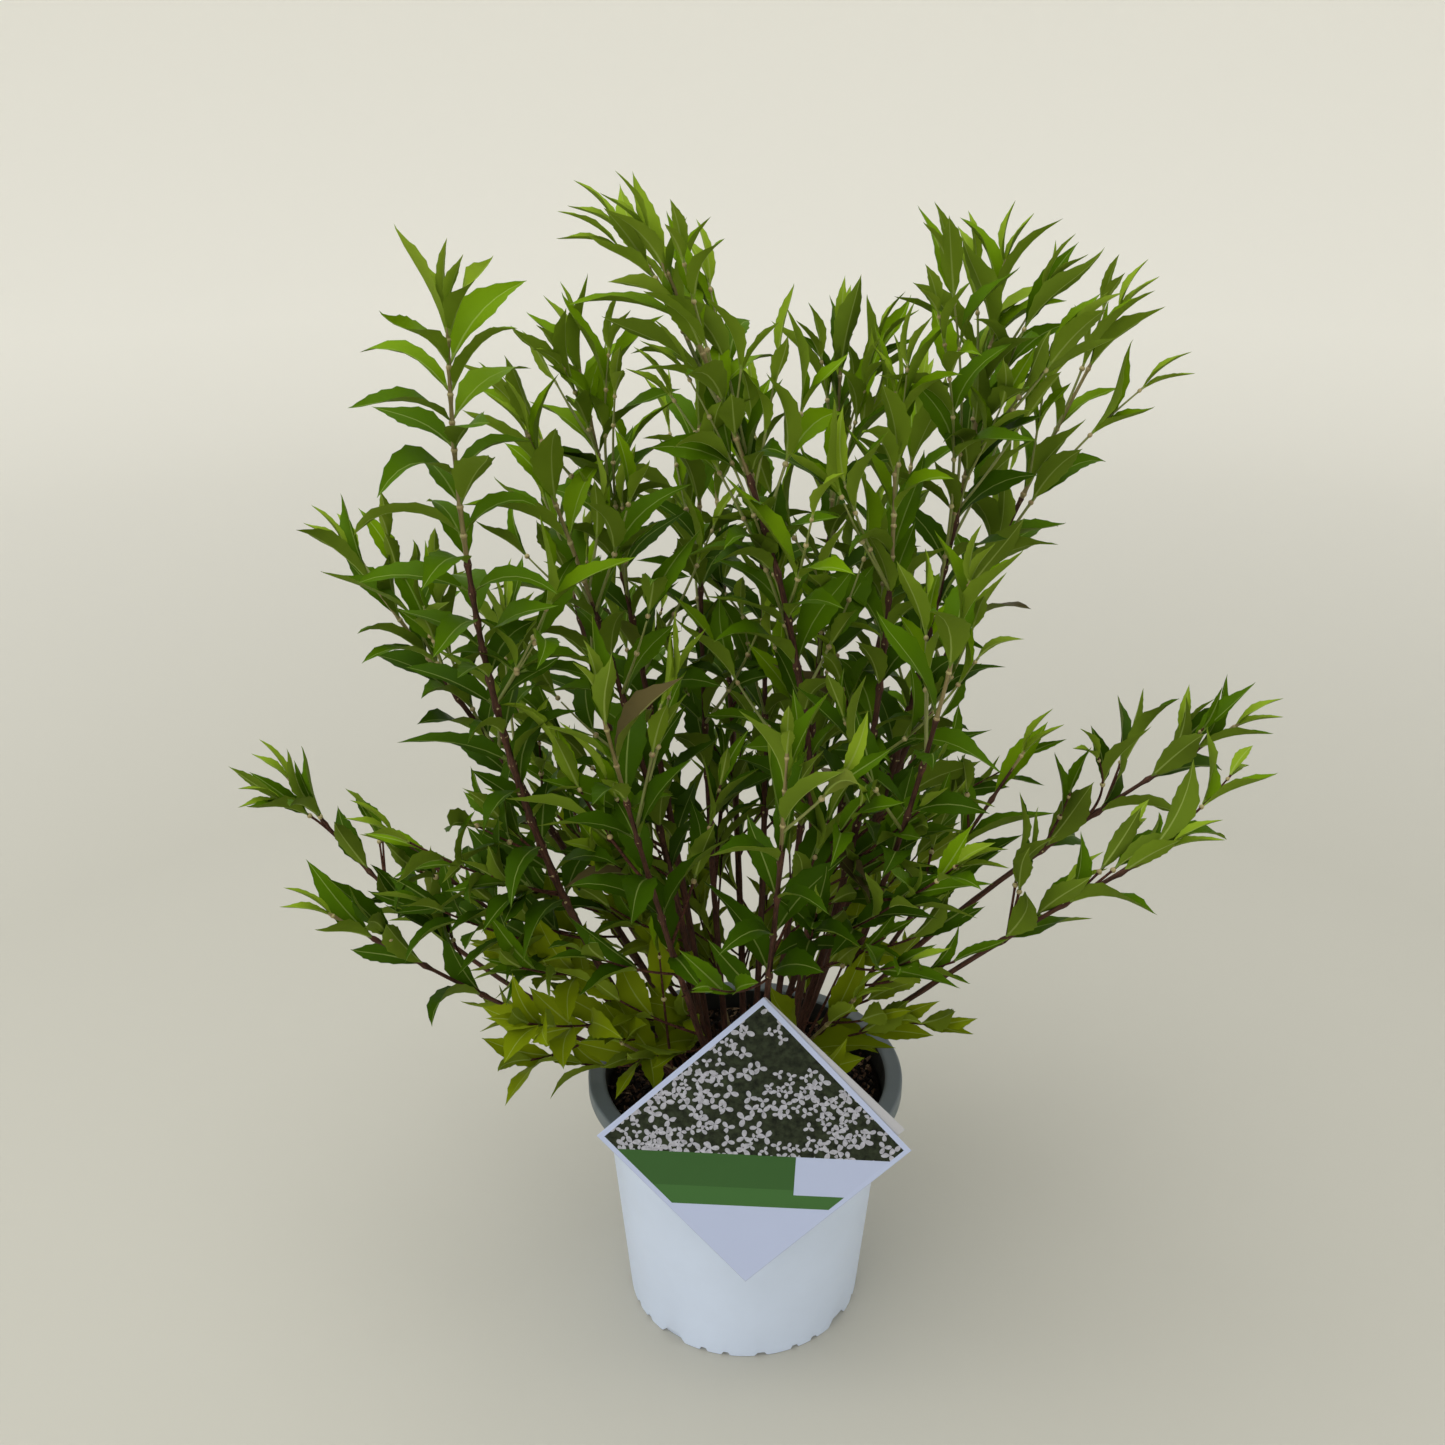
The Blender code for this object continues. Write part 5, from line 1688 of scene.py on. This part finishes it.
def pot_profile(settings):
    """The pot's profile from the middle of its underside out, up, over the lip and down the inside, and
    how many of its points come before the lip.
    """
    wall, rim = settings.wall, POT_HIGH[0]
    foot_inside, ring_middle = POT_FOOT_RADIUS - FOOT_RING_WIDTH, POT_FOOT_RADIUS - FOOT_RING_WIDTH / 2
    floor_top = CHANNEL_HEIGHT + wall
    under_lip = POT_HEIGHT - wall
    lip_foot = POT_HEIGHT - settings.lip_depth
    slope = (POT_NECK_RADIUS - POT_FOOT_RADIUS) / under_lip
    outside = [
        (0.0, 0.0), (CENTRE_PAD_RADIUS, 0.0), (CENTRE_PAD_RADIUS + CHANNEL_RUN, CHANNEL_HEIGHT),
        (foot_inside - CHANNEL_RUN, CHANNEL_HEIGHT), (foot_inside, 0.0), (ring_middle - MM / 2, 0.0),
        (ring_middle, 0.0), (POT_FOOT_RADIUS - FOOT_BEVEL, 0.0), (POT_FOOT_RADIUS, FOOT_BEVEL),
    ]
    outside += [(POT_FOOT_RADIUS + slope * up, up) for up in WALL_LEVELS]
    outside.append((POT_NECK_RADIUS, under_lip))
    lip = [(rim - wall, under_lip), (rim - wall, lip_foot), (rim - wall / 2, lip_foot)]
    lip += arc((rim - LIP_BEND, lip_foot + LIP_BEND), LIP_BEND, -45, 0, 3)
    lip += arc((rim - RIM_BEND, POT_HEIGHT - RIM_BEND), RIM_BEND, 0, 60, 4)
    lip += [(rim - 1.35 * MM, POT_HEIGHT - 0.02 * MM), (rim - 2.2 * MM, POT_HEIGHT - RIM_FLAT_DOWN),
            (POT_NECK_RADIUS + 2 * MM, POT_HEIGHT - RIM_FLAT_DOWN)]
    inside = arc((POT_NECK_RADIUS + 0.4 * MM, POT_HEIGHT - INNER_BEND), INNER_BEND, 90, 180, 4)
    inside += [(POT_NECK_RADIUS - wall - slope * down, POT_HEIGHT - down) for down in INSIDE_LEVELS]
    inside += [(POT_FOOT_RADIUS - wall, floor_top), (0.0, floor_top)]
    return outside + lip + inside, len(outside)


def plastic(name, colour, roughness):
    """Moulded plastic: faint mottle in its colour, uneven gloss and a fine pebbled skin."""
    finish = Finish(name, colour, roughness)
    place = finish.place()
    darker = scaled_colour(colour, 0.72)
    shade = mixed(finish.tree, finish.mottle(place, 26.0, 0.0, 0.16), colour, darker)
    gloss = finish.mottle(place, 90.0, roughness - 0.06, roughness + 0.1)
    skin = finish.relief(finish.mottle(place, 1400.0), 0.12, 0.1 * MM)
    return finish.shine(Base_Color=shade, Roughness=gloss, Normal=skin)


class DEUTZIA_OT_pot(bpy.types.Operator):
    """Turn the pot with its folded lip and notched foot"""

    bl_idname = "deutzia.pot"
    bl_label = "Pot"

    def execute(self, context):
        settings = context.scene.deutzia_pot
        profile, wall_points = pot_profile(settings)
        slots = np.array([0] * (wall_points - 2) + [1] * (len(profile) - wall_points - 1))
        # The inside's last bands take the painted shade, which darkens the inner wall above the compost.
        slots[-PAINTED_SHADE_RINGS:] = 2
        surface = turned(profile, POT_SIDES, slots, notch_lift)
        finishes = (plastic("pot_outside", settings.outside, 0.42), plastic("pot_lip", settings.inside, 0.5),
                    plastic("pot_soiled", settings.painted_shade, 0.7))
        make_piece("pot_shell", surface, finishes, ["pot"], sharp=35)
        return {"FINISHED"}


# The compost: its reach, and the crumbs and chips that lie on it, with the least and the most of their
# length, width and thickness in millimetres.
COMPOST_REACH = POT_NECK_RADIUS - 3.2 * MM
COMPOST_SIDES = 260
CRUMBS = 2300
CHIPS = 420
CRUMB_SIZE = (1.2, 4.2)
CRUMB_SHARES = (0.55, 1.0)
CHIP_SIZES = ((4, 12), (0.7, 2.6), (0.5, 1.2))
BITS_SEED = 11
BITS_TILT = 0.35
BITS_RAISED = 0.3 * MM
BITS_BEND = 0.1


def compost_lift(rings):
    """Lumpy top: three sizes of noise; the side below it stays plain."""
    lumps = (1.3 * noise(rings, 19 * MM, 1) + 0.9 * noise(rings, 7 * MM, 2) + 0.55 * noise(rings, 3 * MM, 3))
    return np.where(rings[..., 2] > COMPOST_TOP - MM, lumps * MM - 0.6 * MM, 0.0)


def scatter(count, inner, outer, rng):
    """Points spread evenly over a ring, as bearing and reach."""
    reach = np.sqrt(rng.uniform(inner**2, outer**2, count))
    bearing = rng.uniform(0, 2 * math.pi, count)
    return np.stack([reach * np.cos(bearing), reach * np.sin(bearing), np.zeros(count)], axis=1)


def chip_axes(bearing, rise, roll):
    """Directions at some bearings and rises, and the directions square to them that face up.

    along = (cos b cos r, sin b cos r, sin r), and upward is along x level turned by a roll to level.
    """
    along = np.stack([np.cos(bearing) * np.cos(rise), np.sin(bearing) * np.cos(rise), np.sin(rise)], axis=1)
    level = np.stack([-np.sin(bearing), np.cos(bearing), np.zeros(len(bearing))], axis=1)
    return along, rolled(np.cross(along, level), level, roll)[0]


def random_sizes(sizes, count, rng):
    """Lengths, widths and thicknesses between the least and the most of each, in metres."""
    return np.stack([rng.uniform(least, most, count) for least, most in sizes], axis=1) * MM


class DEUTZIA_OT_compost(bpy.types.Operator):
    """Fill the pot with lumpy compost, crumbs and chips"""

    bl_idname = "deutzia.compost"
    bl_label = "Compost"

    def execute(self, context):
        settings = context.scene.deutzia_pot
        top, bottom = COMPOST_TOP, COMPOST_LOW[2]
        foot = POT_FOOT_RADIUS - 2.2 * MM
        reach = COMPOST_REACH - 0.5 * MM
        profile = [(0.0, bottom), (foot, bottom), (reach, top - 4 * MM), (reach, top - 1.5 * MM)]
        profile += [(out, top) for out in np.linspace(reach - 0.6 * MM, 2 * MM, 60)] + [(0.0, top)]
        surface = turned(profile, COMPOST_SIDES, 0, compost_lift)
        finish = Finish("compost", settings.compost_dark, 0.95, Specular_IOR_Level=0.1)
        place = finish.place()
        crumbs = finish.mottle(place, 330.0)
        damp = maths(finish.tree, "MULTIPLY", crumbs, finish.mottle(place, 60.0, 0.5))
        soil = mixed(finish.tree, damp, settings.compost_dark, settings.compost_light)
        earth = finish.shine(Base_Color=soil, Normal=finish.relief(crumbs, 0.8, MM))
        make_piece("compost_bed", surface, (earth,), ["compost"])

        rng = np.random.default_rng(BITS_SEED)
        count = CRUMBS + CHIPS
        centres = scatter(count, 34 * MM, COMPOST_REACH - 3.5 * MM, rng)
        centres[:, 2] = top + compost_lift(centres + UP * top) + BITS_RAISED
        bearing = rng.uniform(0, 2 * math.pi, count)
        rise, roll = (rng.uniform(-BITS_TILT, BITS_TILT, count) for _ in range(2))
        along, upward = chip_axes(bearing, rise, roll)
        crumb_sizes = rng.uniform(*CRUMB_SIZE, (CRUMBS, 1)) * rng.uniform(*CRUMB_SHARES, (CRUMBS, 3)) * MM
        sizes = np.concatenate([crumb_sizes, random_sizes(CHIP_SIZES, CHIPS, rng)])
        bend = rng.uniform(-BITS_BEND, BITS_BEND, count) * sizes[:, 0]
        slots = np.concatenate([rng.choice(3, CRUMBS, p=(0.72, 0.26, 0.02)),
                                rng.choice((1, 2, 3), CHIPS, p=(0.45, 0.42, 0.13))])
        tones = [
            bark_finish("crumb_dark", settings.compost_dark, settings.compost_light, 0.6),
            bark_finish("crumb_brown", settings.compost_light, settings.chip, 0.7),
            bark_finish("chip_brown", settings.chip, settings.compost_light, 0.8),
            bark_finish("chip_pale", settings.chip_pale, settings.chip, 0.8),
        ]
        bits = slivers(centres, along, upward, sizes, bend, slots)
        make_piece("compost_bits", bits, tones, ["compost"], sharp=30)
        return {"FINISHED"}


# The crown: a mound, a stub at the foot of each cane, old stubs among them and flakes of bark on top.
CROWN_SEED = 7
MOUND_FOOT = COMPOST_TOP - 3 * MM
MOUND_EDGE = MOUND_FOOT + 2 * MM
MOUND_RADIUS = 47 * MM
MOUND_CURVE = 49 * MM
MOUND_HEIGHT = 9.5 * MM
MOUND_SIDES = 220
STUB_FLARE = 0.8
OLD_STUBS = 60
OLD_STUB_RADIUS = (1.0, 2.6)
OLD_STUB_LENGTH = (12, 30)
FLAKES = 900
FLAKE_RISE = (0.15, 1.35)
FLAKE_SIZES = ((7, 24), (0.7, 2.6), (0.3, 0.7))
FLAKE_TONES = {
    "flake_dark": ((0.030, 0.015, 0.010), (0.010, 0.005, 0.004)),
    "flake_brown": ((0.095, 0.050, 0.028), (0.035, 0.017, 0.010)),
    "flake_pale": ((0.21, 0.135, 0.080), (0.09, 0.05, 0.028)),
}


def mound_height(out):
    """Height of the mound over its edge: h sqrt(1 - (r / R)^2)."""
    return MOUND_HEIGHT * np.sqrt(1 - (out / MOUND_CURVE) ** 2)


def mound_lift(rings):
    """Rough top of the mound: two sizes of noise."""
    rough = 1.6 * noise(rings, 9 * MM, 5) + 1.0 * noise(rings, 3.5 * MM, 6)
    return np.where(rings[..., 2] > MOUND_FOOT + MM, rough * MM, 0.0)


def rough_radii(run, radius, sides, phase):
    """Radius of an old stub: r times 1 plus deep wandering strips and lattice noise."""
    angle = around_axis(sides)
    around = np.stack(np.broadcast_arrays(
        np.cos(angle)[None] * 2.0 + phase, np.sin(angle)[None] * 2.0, (run / (9 * MM))[:, None]), axis=-1)
    strips = 0.16 * np.sin(4 * angle + phase)[None] + 0.3 * noise(around, 1.0, 9)
    return radius[:, None] * (1 + strips)


def stub(line, run, radius, power, sides, phase):
    """Rough stub along a line, whose radius is r (1 + flare (1 - t)^power), for t from 0 to 1."""
    spread = radius * (1.0 + STUB_FLARE * np.linspace(1, 0, len(line)) ** power)
    return tube(line, rough_radii(run, spread, sides, phase), sides)


def cane_stubs(plan, rng):
    """A stub round the foot of each cane, which follows its first stretch."""
    for index, (cane, path) in enumerate(zip(plan.canes, plan.paths)):
        foot, heading = path[0], unit(path[COARSE_STEP] - path[0])
        levels = np.linspace(MOUND_FOOT, CROWN_TOP + rng.uniform(1, 7) * MM, 12)
        line = foot + heading * ((levels - foot[2]) / heading[2])[:, None]
        yield stub(line, levels, cane.foot_radius * MM, 1.6, 16, index)


def old_stubs(rng):
    """Stubs of canes that were cut off, leaning outwards."""
    for index in range(OLD_STUBS):
        foot = scatter(1, 6 * MM, 43 * MM, rng)[0]
        heading = unit(foot * rng.uniform(0.2, 1.0) / (40 * MM) + UP + rng.uniform(-0.15, 0.15, 3))
        radius = rng.uniform(*OLD_STUB_RADIUS) * MM
        run = np.linspace(0.0, rng.uniform(*OLD_STUB_LENGTH) * MM, 10)
        line = foot + UP * MOUND_FOOT + heading * run[:, None]
        yield stub(line, run + index, radius, 2, 12, index * 2.3)


def crown_flakes(rng):
    """Flakes of bark that stand on the mound and lean all ways."""
    centres = scatter(FLAKES, 4 * MM, 46 * MM, rng)
    rise = rng.uniform(*FLAKE_RISE, FLAKES)
    bearing = rng.uniform(0, 2 * math.pi, FLAKES)
    along, upward = chip_axes(bearing, rise, rng.uniform(-0.8, 0.8, FLAKES))
    sizes = random_sizes(FLAKE_SIZES, FLAKES, rng)
    mounded = mound_height(np.hypot(centres[:, 0], centres[:, 1]))
    centres[:, 2] = MOUND_EDGE + mounded + sizes[:, 0] * 0.3 * np.sin(rise)
    bend = rng.uniform(-0.12, 0.12, FLAKES) * sizes[:, 0]
    return slivers(centres, along, upward, sizes, bend, rng.choice(3, FLAKES, p=(0.50, 0.38, 0.12)))


class DEUTZIA_OT_crown(bpy.types.Operator):
    """Make the woody crown: a mound, old stubs and flakes of bark"""

    bl_idname = "deutzia.crown"
    bl_label = "Woody crown"

    def execute(self, context):
        settings = context.scene.deutzia_shrub
        rng = np.random.default_rng(CROWN_SEED)
        out = np.linspace(MOUND_RADIUS, 1.5 * MM, 44)
        profile = [(0.0, MOUND_FOOT), (MOUND_RADIUS, MOUND_FOOT)]
        profile += list(zip(out, MOUND_EDGE + mound_height(out)))
        profile.append((0.0, profile[-1][1]))
        bark = bark_finish("crown_bark", settings.crown_light, settings.crown_dark, 1.0)
        mound = turned(profile, MOUND_SIDES, 0, mound_lift)
        make_piece("crown_mound", mound, (bark,), ["root_crown"])
        stubs = joined(list(cane_stubs(plan_shrub(), rng)) + list(old_stubs(rng)))
        make_piece("crown_stubs", stubs, (bark,), ["root_crown"], sharp=70)
        tones = [bark_finish(name, base, other, 1.0) for name, (base, other) in FLAKE_TONES.items()]
        make_piece("crown_flakes", crown_flakes(rng), tones, ["root_crown"], sharp=30)
        return {"FINISHED"}


CARD_THICKNESS = 0.8 * MM
CARD_CELLS = 24
CARD_EDGES = (0.97, 0.994, 1.0)
CARD_EDGE_THICKNESS = 0.25
BACK_CARD_SIDE = 108 * MM
BACK_CARD_ROLL = math.radians(0.4)


def card_surface(side, centre, lean, roll):
    """Thin square plate stood on a corner, its edges rounded over; its map is level with the print.

    point = centre + X right + Y back + Z up, where (X, Z) is the square turned by 45 degrees and roll,
    and up leans back by lean. The outermost points of both faces are drawn in to a share of the
    thickness.
    """
    flat_end, *edges = CARD_EDGES
    share = np.concatenate([-np.array(edges[::-1]), np.linspace(-flat_end, flat_end, CARD_CELLS - 3), edges])
    u, v = np.meshgrid(share, share, indexing="ij")
    edge = np.maximum(np.abs(u), np.abs(v)) > 0.999
    turn = math.radians(45) + roll
    x = side / 2 * (u * math.cos(turn) + v * math.sin(turn))
    z = side / 2 * (v * math.cos(turn) - u * math.sin(turn))
    depth = np.where(edge, CARD_EDGE_THICKNESS, 1.0) * CARD_THICKNESS / 2
    right = np.array([1.0, 0.0, 0.0])
    back = np.array([0.0, math.cos(lean), -math.sin(lean)])
    up = np.array([0.0, math.sin(lean), math.cos(lean)])
    flat = shifted(centre, (right, x), (up, z))
    front, rear = shifted(flat, (-back, depth)), shifted(flat, (back, depth))
    size = len(share)
    count = size * size
    across = grid_quads(size, size)
    inner = np.arange(size)
    loop = np.concatenate([inner * size, (size - 1) * size + inner[1:], inner[-2::-1] * size + size - 1,
                           inner[-2:0:-1]])
    after = np.roll(loop, -1)
    rim = np.stack([loop, loop + count, after + count, after], axis=1)
    quads = np.concatenate([across[:, ::-1], across + count, rim])
    places = np.stack([x * math.cos(roll) - z * math.sin(roll), x * math.sin(roll) + z * math.cos(roll)],
                      axis=-1).reshape(-1, 2)
    slots = np.concatenate([np.zeros(len(across)), np.ones(len(across) + len(rim))])
    return Surface(np.concatenate([front.reshape(-1, 3), rear.reshape(-1, 3)]), quads, NO_TRIANGLES,
                   np.concatenate([places, places]), slots)


# The print's layout in the card's own level frame, from its centre, and its trefoils: for each of two
# scatters the scale, the least reach of a lobe and a shift.
PRINT_BORDER = 4.2 * MM
PICTURE_FOOT = -7 * MM
BAND_SPLIT = -27 * MM
BAND_FOOT = -38 * MM
BOX_LEFT = 23 * MM
BOX_FOOT = -30 * MM
BOX_SHADE = 0.97
LIGHT_BAND = 1.3
LUSH_GROUND = 11.0
MOTIF_SCALE = 118.0
TREFOILS = ((MOTIF_SCALE, 0.46, 0.0), (MOTIF_SCALE * 1.37, 0.44, 3.7))
LOBE_POWER = 1.5
LOBE_SPREAD = 0.14
CLUSTER_SCALE = 0.22
CLUSTER_LEVEL = 0.47


def print_finish(settings):
    """Card print: pale border, dark picture ground with a scatter of small leaf trefoils, green bands."""
    finish = Finish("card_print", settings.paper, 0.4, Specular_IOR_Level=0.15)
    tree, own_map = finish.tree, finish.own_map()
    place = finish.add("SeparateXYZ", Vector=own_map)
    x, z = place.outputs["X"], place.outputs["Y"]
    paper, field, band = settings.paper, settings.field, settings.band
    leafy = maths(tree, "MAXIMUM", *(trefoils(finish, own_map, *scatter) for scatter in TREFOILS))
    lush = mixed(tree, finish.mottle(own_map, 240.0), field, scaled_colour(field, LUSH_GROUND))
    pale = mixed(tree, finish.mottle(own_map, 420.0, 0.55), field, settings.motif)
    upper = mixed(tree, maths(tree, "GREATER_THAN", z, BAND_SPLIT), scaled_colour(band, LIGHT_BAND), band)
    banded = mixed(tree, maths(tree, "GREATER_THAN", z, BAND_FOOT), paper, upper)
    in_box = maths(tree, "MULTIPLY", maths(tree, "GREATER_THAN", x, BOX_LEFT),
                   maths(tree, "GREATER_THAN", z, BOX_FOOT))
    boxed = mixed(tree, in_box, banded, scaled_colour(paper, BOX_SHADE))
    picture = mixed(tree, leafy, lush, pale)
    whole = mixed(tree, maths(tree, "GREATER_THAN", z, PICTURE_FOOT), boxed, picture)
    reach = maths(tree, "ADD", maths(tree, "ABSOLUTE", x), maths(tree, "ABSOLUTE", z))
    inside = maths(tree, "LESS_THAN", reach, settings.side / math.sqrt(2) - PRINT_BORDER)
    gloss = finish.mottle(finish.place(), 70.0, 0.34, 0.46)
    return finish.shine(Base_Color=mixed(tree, inside, paper, whole), Roughness=gloss)


def trefoils(finish, own_map, scale, cut, shift):
    """Mask of one scatter of trefoils on the card's map.

    Each Voronoi cell holds one trefoil, r < R |cos(1.5 a)|^p, turned by the cell's own random value.
    """
    tree = finish.tree
    spots = finish.add("Mapping", Vector=own_map, Scale=(scale, scale, scale),
                       Location=(shift, shift, 0.0)).outputs["Vector"]
    cells = finish.add("TexVoronoi", voronoi_dimensions="2D", Vector=spots, Scale=1.0, Randomness=0.8)
    offset = vector_maths(tree, "SUBTRACT", spots, cells.outputs["Position"])
    local = finish.add("SeparateXYZ", Vector=offset.outputs[0])
    chance = finish.add("SeparateColor", Color=cells.outputs["Color"])
    angle = maths(tree, "ARCTAN2", local.outputs["Y"], local.outputs["X"])
    turned_by = maths(tree, "MULTIPLY_ADD", chance.outputs["Red"], 2 * math.pi, angle)
    lobes = maths(tree, "ABSOLUTE", maths(tree, "COSINE", maths(tree, "MULTIPLY", turned_by, 1.5)))
    size = maths(tree, "MULTIPLY_ADD", chance.outputs["Green"], LOBE_SPREAD, cut)
    edge = maths(tree, "MULTIPLY", maths(tree, "POWER", lobes, LOBE_POWER), size)
    clusters = finish.add("TexNoise", noise_dimensions="2D", Vector=cells.outputs["Position"],
                          Scale=CLUSTER_SCALE, Detail=2.0)
    kept = maths(tree, "GREATER_THAN", clusters.outputs[0], CLUSTER_LEVEL)
    return maths(tree, "MULTIPLY", kept, maths(tree, "LESS_THAN", cells.outputs["Distance"], edge))


class DEUTZIA_OT_cards(bpy.types.Operator):
    """Make the printed card, the plain card behind it and the strip's finish"""

    bl_idname = "deutzia.cards"
    bl_label = "Cards"

    def execute(self, context):
        settings = context.scene.deutzia_card
        paper = plastic("card_paper", settings.paper, 0.35)
        grey = plastic("card_grey", settings.back, 0.45)
        front = card_surface(settings.side, FRONT_CARD_CENTRE, settings.lean, settings.roll)
        make_piece("picture_card", front, (print_finish(settings), paper), ["label_front"],
                   sharp=30)
        back = card_surface(BACK_CARD_SIDE, BACK_CARD_CENTRE, settings.lean, BACK_CARD_ROLL)
        make_piece("plain_card", back, (grey, grey), ["label_back"], sharp=30)
        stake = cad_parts["label_stake"]
        stake.material_slots[0].material = plastic("stake_white", settings.strip, 0.4)
        return {"FINISHED"}


# The stage: the floor's radii, its rim and its sides, where the lamps stand, what they face and how large
# they are, and the lens, whose length in pixels of the picture was fitted with the camera's place.
FLOOR_FLAT = 2.4
FLOOR_CURVE = 1.6
FLOOR_RIM = 0.9
# Distance from the middle where the floor's painted light begins to pale it. It reaches the wall colour one
# flat radius further out.
FLOOR_LIGHT_FADE = 0.8
FLOOR_SIDES = 96
LAMP_AIM = (0.0, 0.0, 0.3)
KEY_PLACE, KEY_SIZE = (-0.5, -0.4, 2.6), 2.2
FILL_PLACE, FILL_SIZE = (-1.3, -1.9, 1.1), 1.6
SENSOR = 36.0
LENS_PIXELS, PICTURE_PIXELS = 1447, 1445


def make_floor(settings):
    """Round floor turned from a profile: flat, then a quarter circle up, then a short upright rim."""
    bend = np.linspace(0.0, math.pi / 2, 16)
    out = np.concatenate([[0.0, 0.3, 0.8, 1.6], FLOOR_FLAT + FLOOR_CURVE * np.sin(bend)])
    up = np.concatenate([np.zeros(4), FLOOR_CURVE * (1 - np.cos(bend))])
    out, up = np.append(out, out[-1]), np.append(up, up[-1] + FLOOR_RIM)
    points = revolved(out, up - 0.2 * MM, FLOOR_SIDES)
    faces = grid_quads(len(out), FLOOR_SIDES, closed=True)[:, ::-1]
    mesh = bpy.data.meshes.new("floor")
    mesh.from_pydata(points.reshape(-1, 3).tolist(), [], faces.tolist())
    mesh.shade_smooth()
    finish = Finish("floor", settings.floor, 0.9)
    # Painted light: the floor goes from its own colour near the middle to the paler wall colour on the rim,
    # so it is brighter where the raised rim stands.
    distance = vector_maths(finish.tree, "LENGTH", finish.place()).outputs["Value"]
    share = spread_out(finish.tree, distance, FLOOR_LIGHT_FADE, FLOOR_FLAT + FLOOR_LIGHT_FADE)
    mesh.materials.append(finish.shine(Base_Color=mixed(finish.tree, share, settings.floor, settings.wall)))
    put_in_scene("floor", mesh)


def add_lamp(name, place, size, power):
    """Square area lamp at a place, turned to face the shrub."""
    light = bpy.data.lights.new(name, "AREA")
    light.size = size
    light.energy = power
    lamp = put_in_scene(name, light)
    ahead = unit(np.array(LAMP_AIM) - np.array(place))
    lamp.location = place
    lamp.rotation_euler = (math.acos(-ahead[2]), 0.0, math.atan2(ahead[0], -ahead[1]) + math.pi)


def add_camera(settings):
    """The camera in front of the card, looking down a little."""
    lens = bpy.data.cameras.new("camera")
    lens.sensor_width = SENSOR
    lens.lens = SENSOR * LENS_PIXELS / PICTURE_PIXELS
    camera = put_in_scene("camera", lens)
    camera.location = (settings.camera_aside, -settings.camera_distance, settings.camera_height)
    camera.rotation_euler = (math.pi / 2 - settings.camera_pitch, 0.0, 0.0)
    bpy.context.scene.camera = camera


class DEUTZIA_OT_stage(bpy.types.Operator):
    """Make the pale floor, the soft light and the camera"""

    bl_idname = "deutzia.stage"
    bl_label = "Stage"

    def execute(self, context):
        settings = context.scene.deutzia_stage
        make_floor(settings)
        add_lamp("key", KEY_PLACE, KEY_SIZE, settings.key_power)
        add_lamp("fill", FILL_PLACE, FILL_SIZE, settings.fill_power)
        world = bpy.data.worlds.new("studio")
        world.use_nodes = True
        background = world.node_tree.nodes["Background"]
        background.inputs["Color"].default_value = (*settings.sky, 1.0)
        background.inputs["Strength"].default_value = settings.sky_strength
        context.scene.world = world
        context.scene.view_settings.view_transform = "Standard"
        add_camera(settings)
        return {"FINISHED"}


SETTINGS = (
    ("deutzia_shrub", ShrubSettings),
    ("deutzia_pot", PotSettings),
    ("deutzia_card", CardSettings),
    ("deutzia_stage", StageSettings),
)
OPERATORS = (
    DEUTZIA_OT_pot,
    DEUTZIA_OT_compost,
    DEUTZIA_OT_crown,
    DEUTZIA_OT_canes,
    DEUTZIA_OT_shoots,
    DEUTZIA_OT_node_rings,
    DEUTZIA_OT_leaves,
    DEUTZIA_OT_cards,
    DEUTZIA_OT_stage,
)


class DEUTZIA_PT_parts(bpy.types.Panel):
    """Lists the operators and the settings in the sidebar"""

    bl_label = "Potted Deutzia"
    bl_space_type = "VIEW_3D"
    bl_region_type = "UI"
    bl_category = "Deutzia"

    def draw(self, context):
        for operator in OPERATORS:
            self.layout.operator(operator.bl_idname)
        for name, group in SETTINGS:
            box = self.layout.box()
            for key in group.__annotations__:
                box.prop(getattr(context.scene, name), key)


def register():
    """Register the settings, the operators and the panel."""
    for name, group in SETTINGS:
        bpy.utils.register_class(group)
        setattr(bpy.types.Scene, name, bpy.props.PointerProperty(type=group))
    for operator in OPERATORS:
        bpy.utils.register_class(operator)
    bpy.utils.register_class(DEUTZIA_PT_parts)


def unregister():
    """Take back everything that register added."""
    bpy.utils.unregister_class(DEUTZIA_PT_parts)
    for operator in reversed(OPERATORS):
        bpy.utils.unregister_class(operator)
    for name, group in reversed(SETTINGS):
        delattr(bpy.types.Scene, name)
        bpy.utils.unregister_class(group)


def main():
    """Make every piece in order."""
    register()
    for operator in OPERATORS:
        group, name = operator.bl_idname.split(".")
        getattr(getattr(bpy.ops, group), name)()


if __name__ == "__main__":
    main()
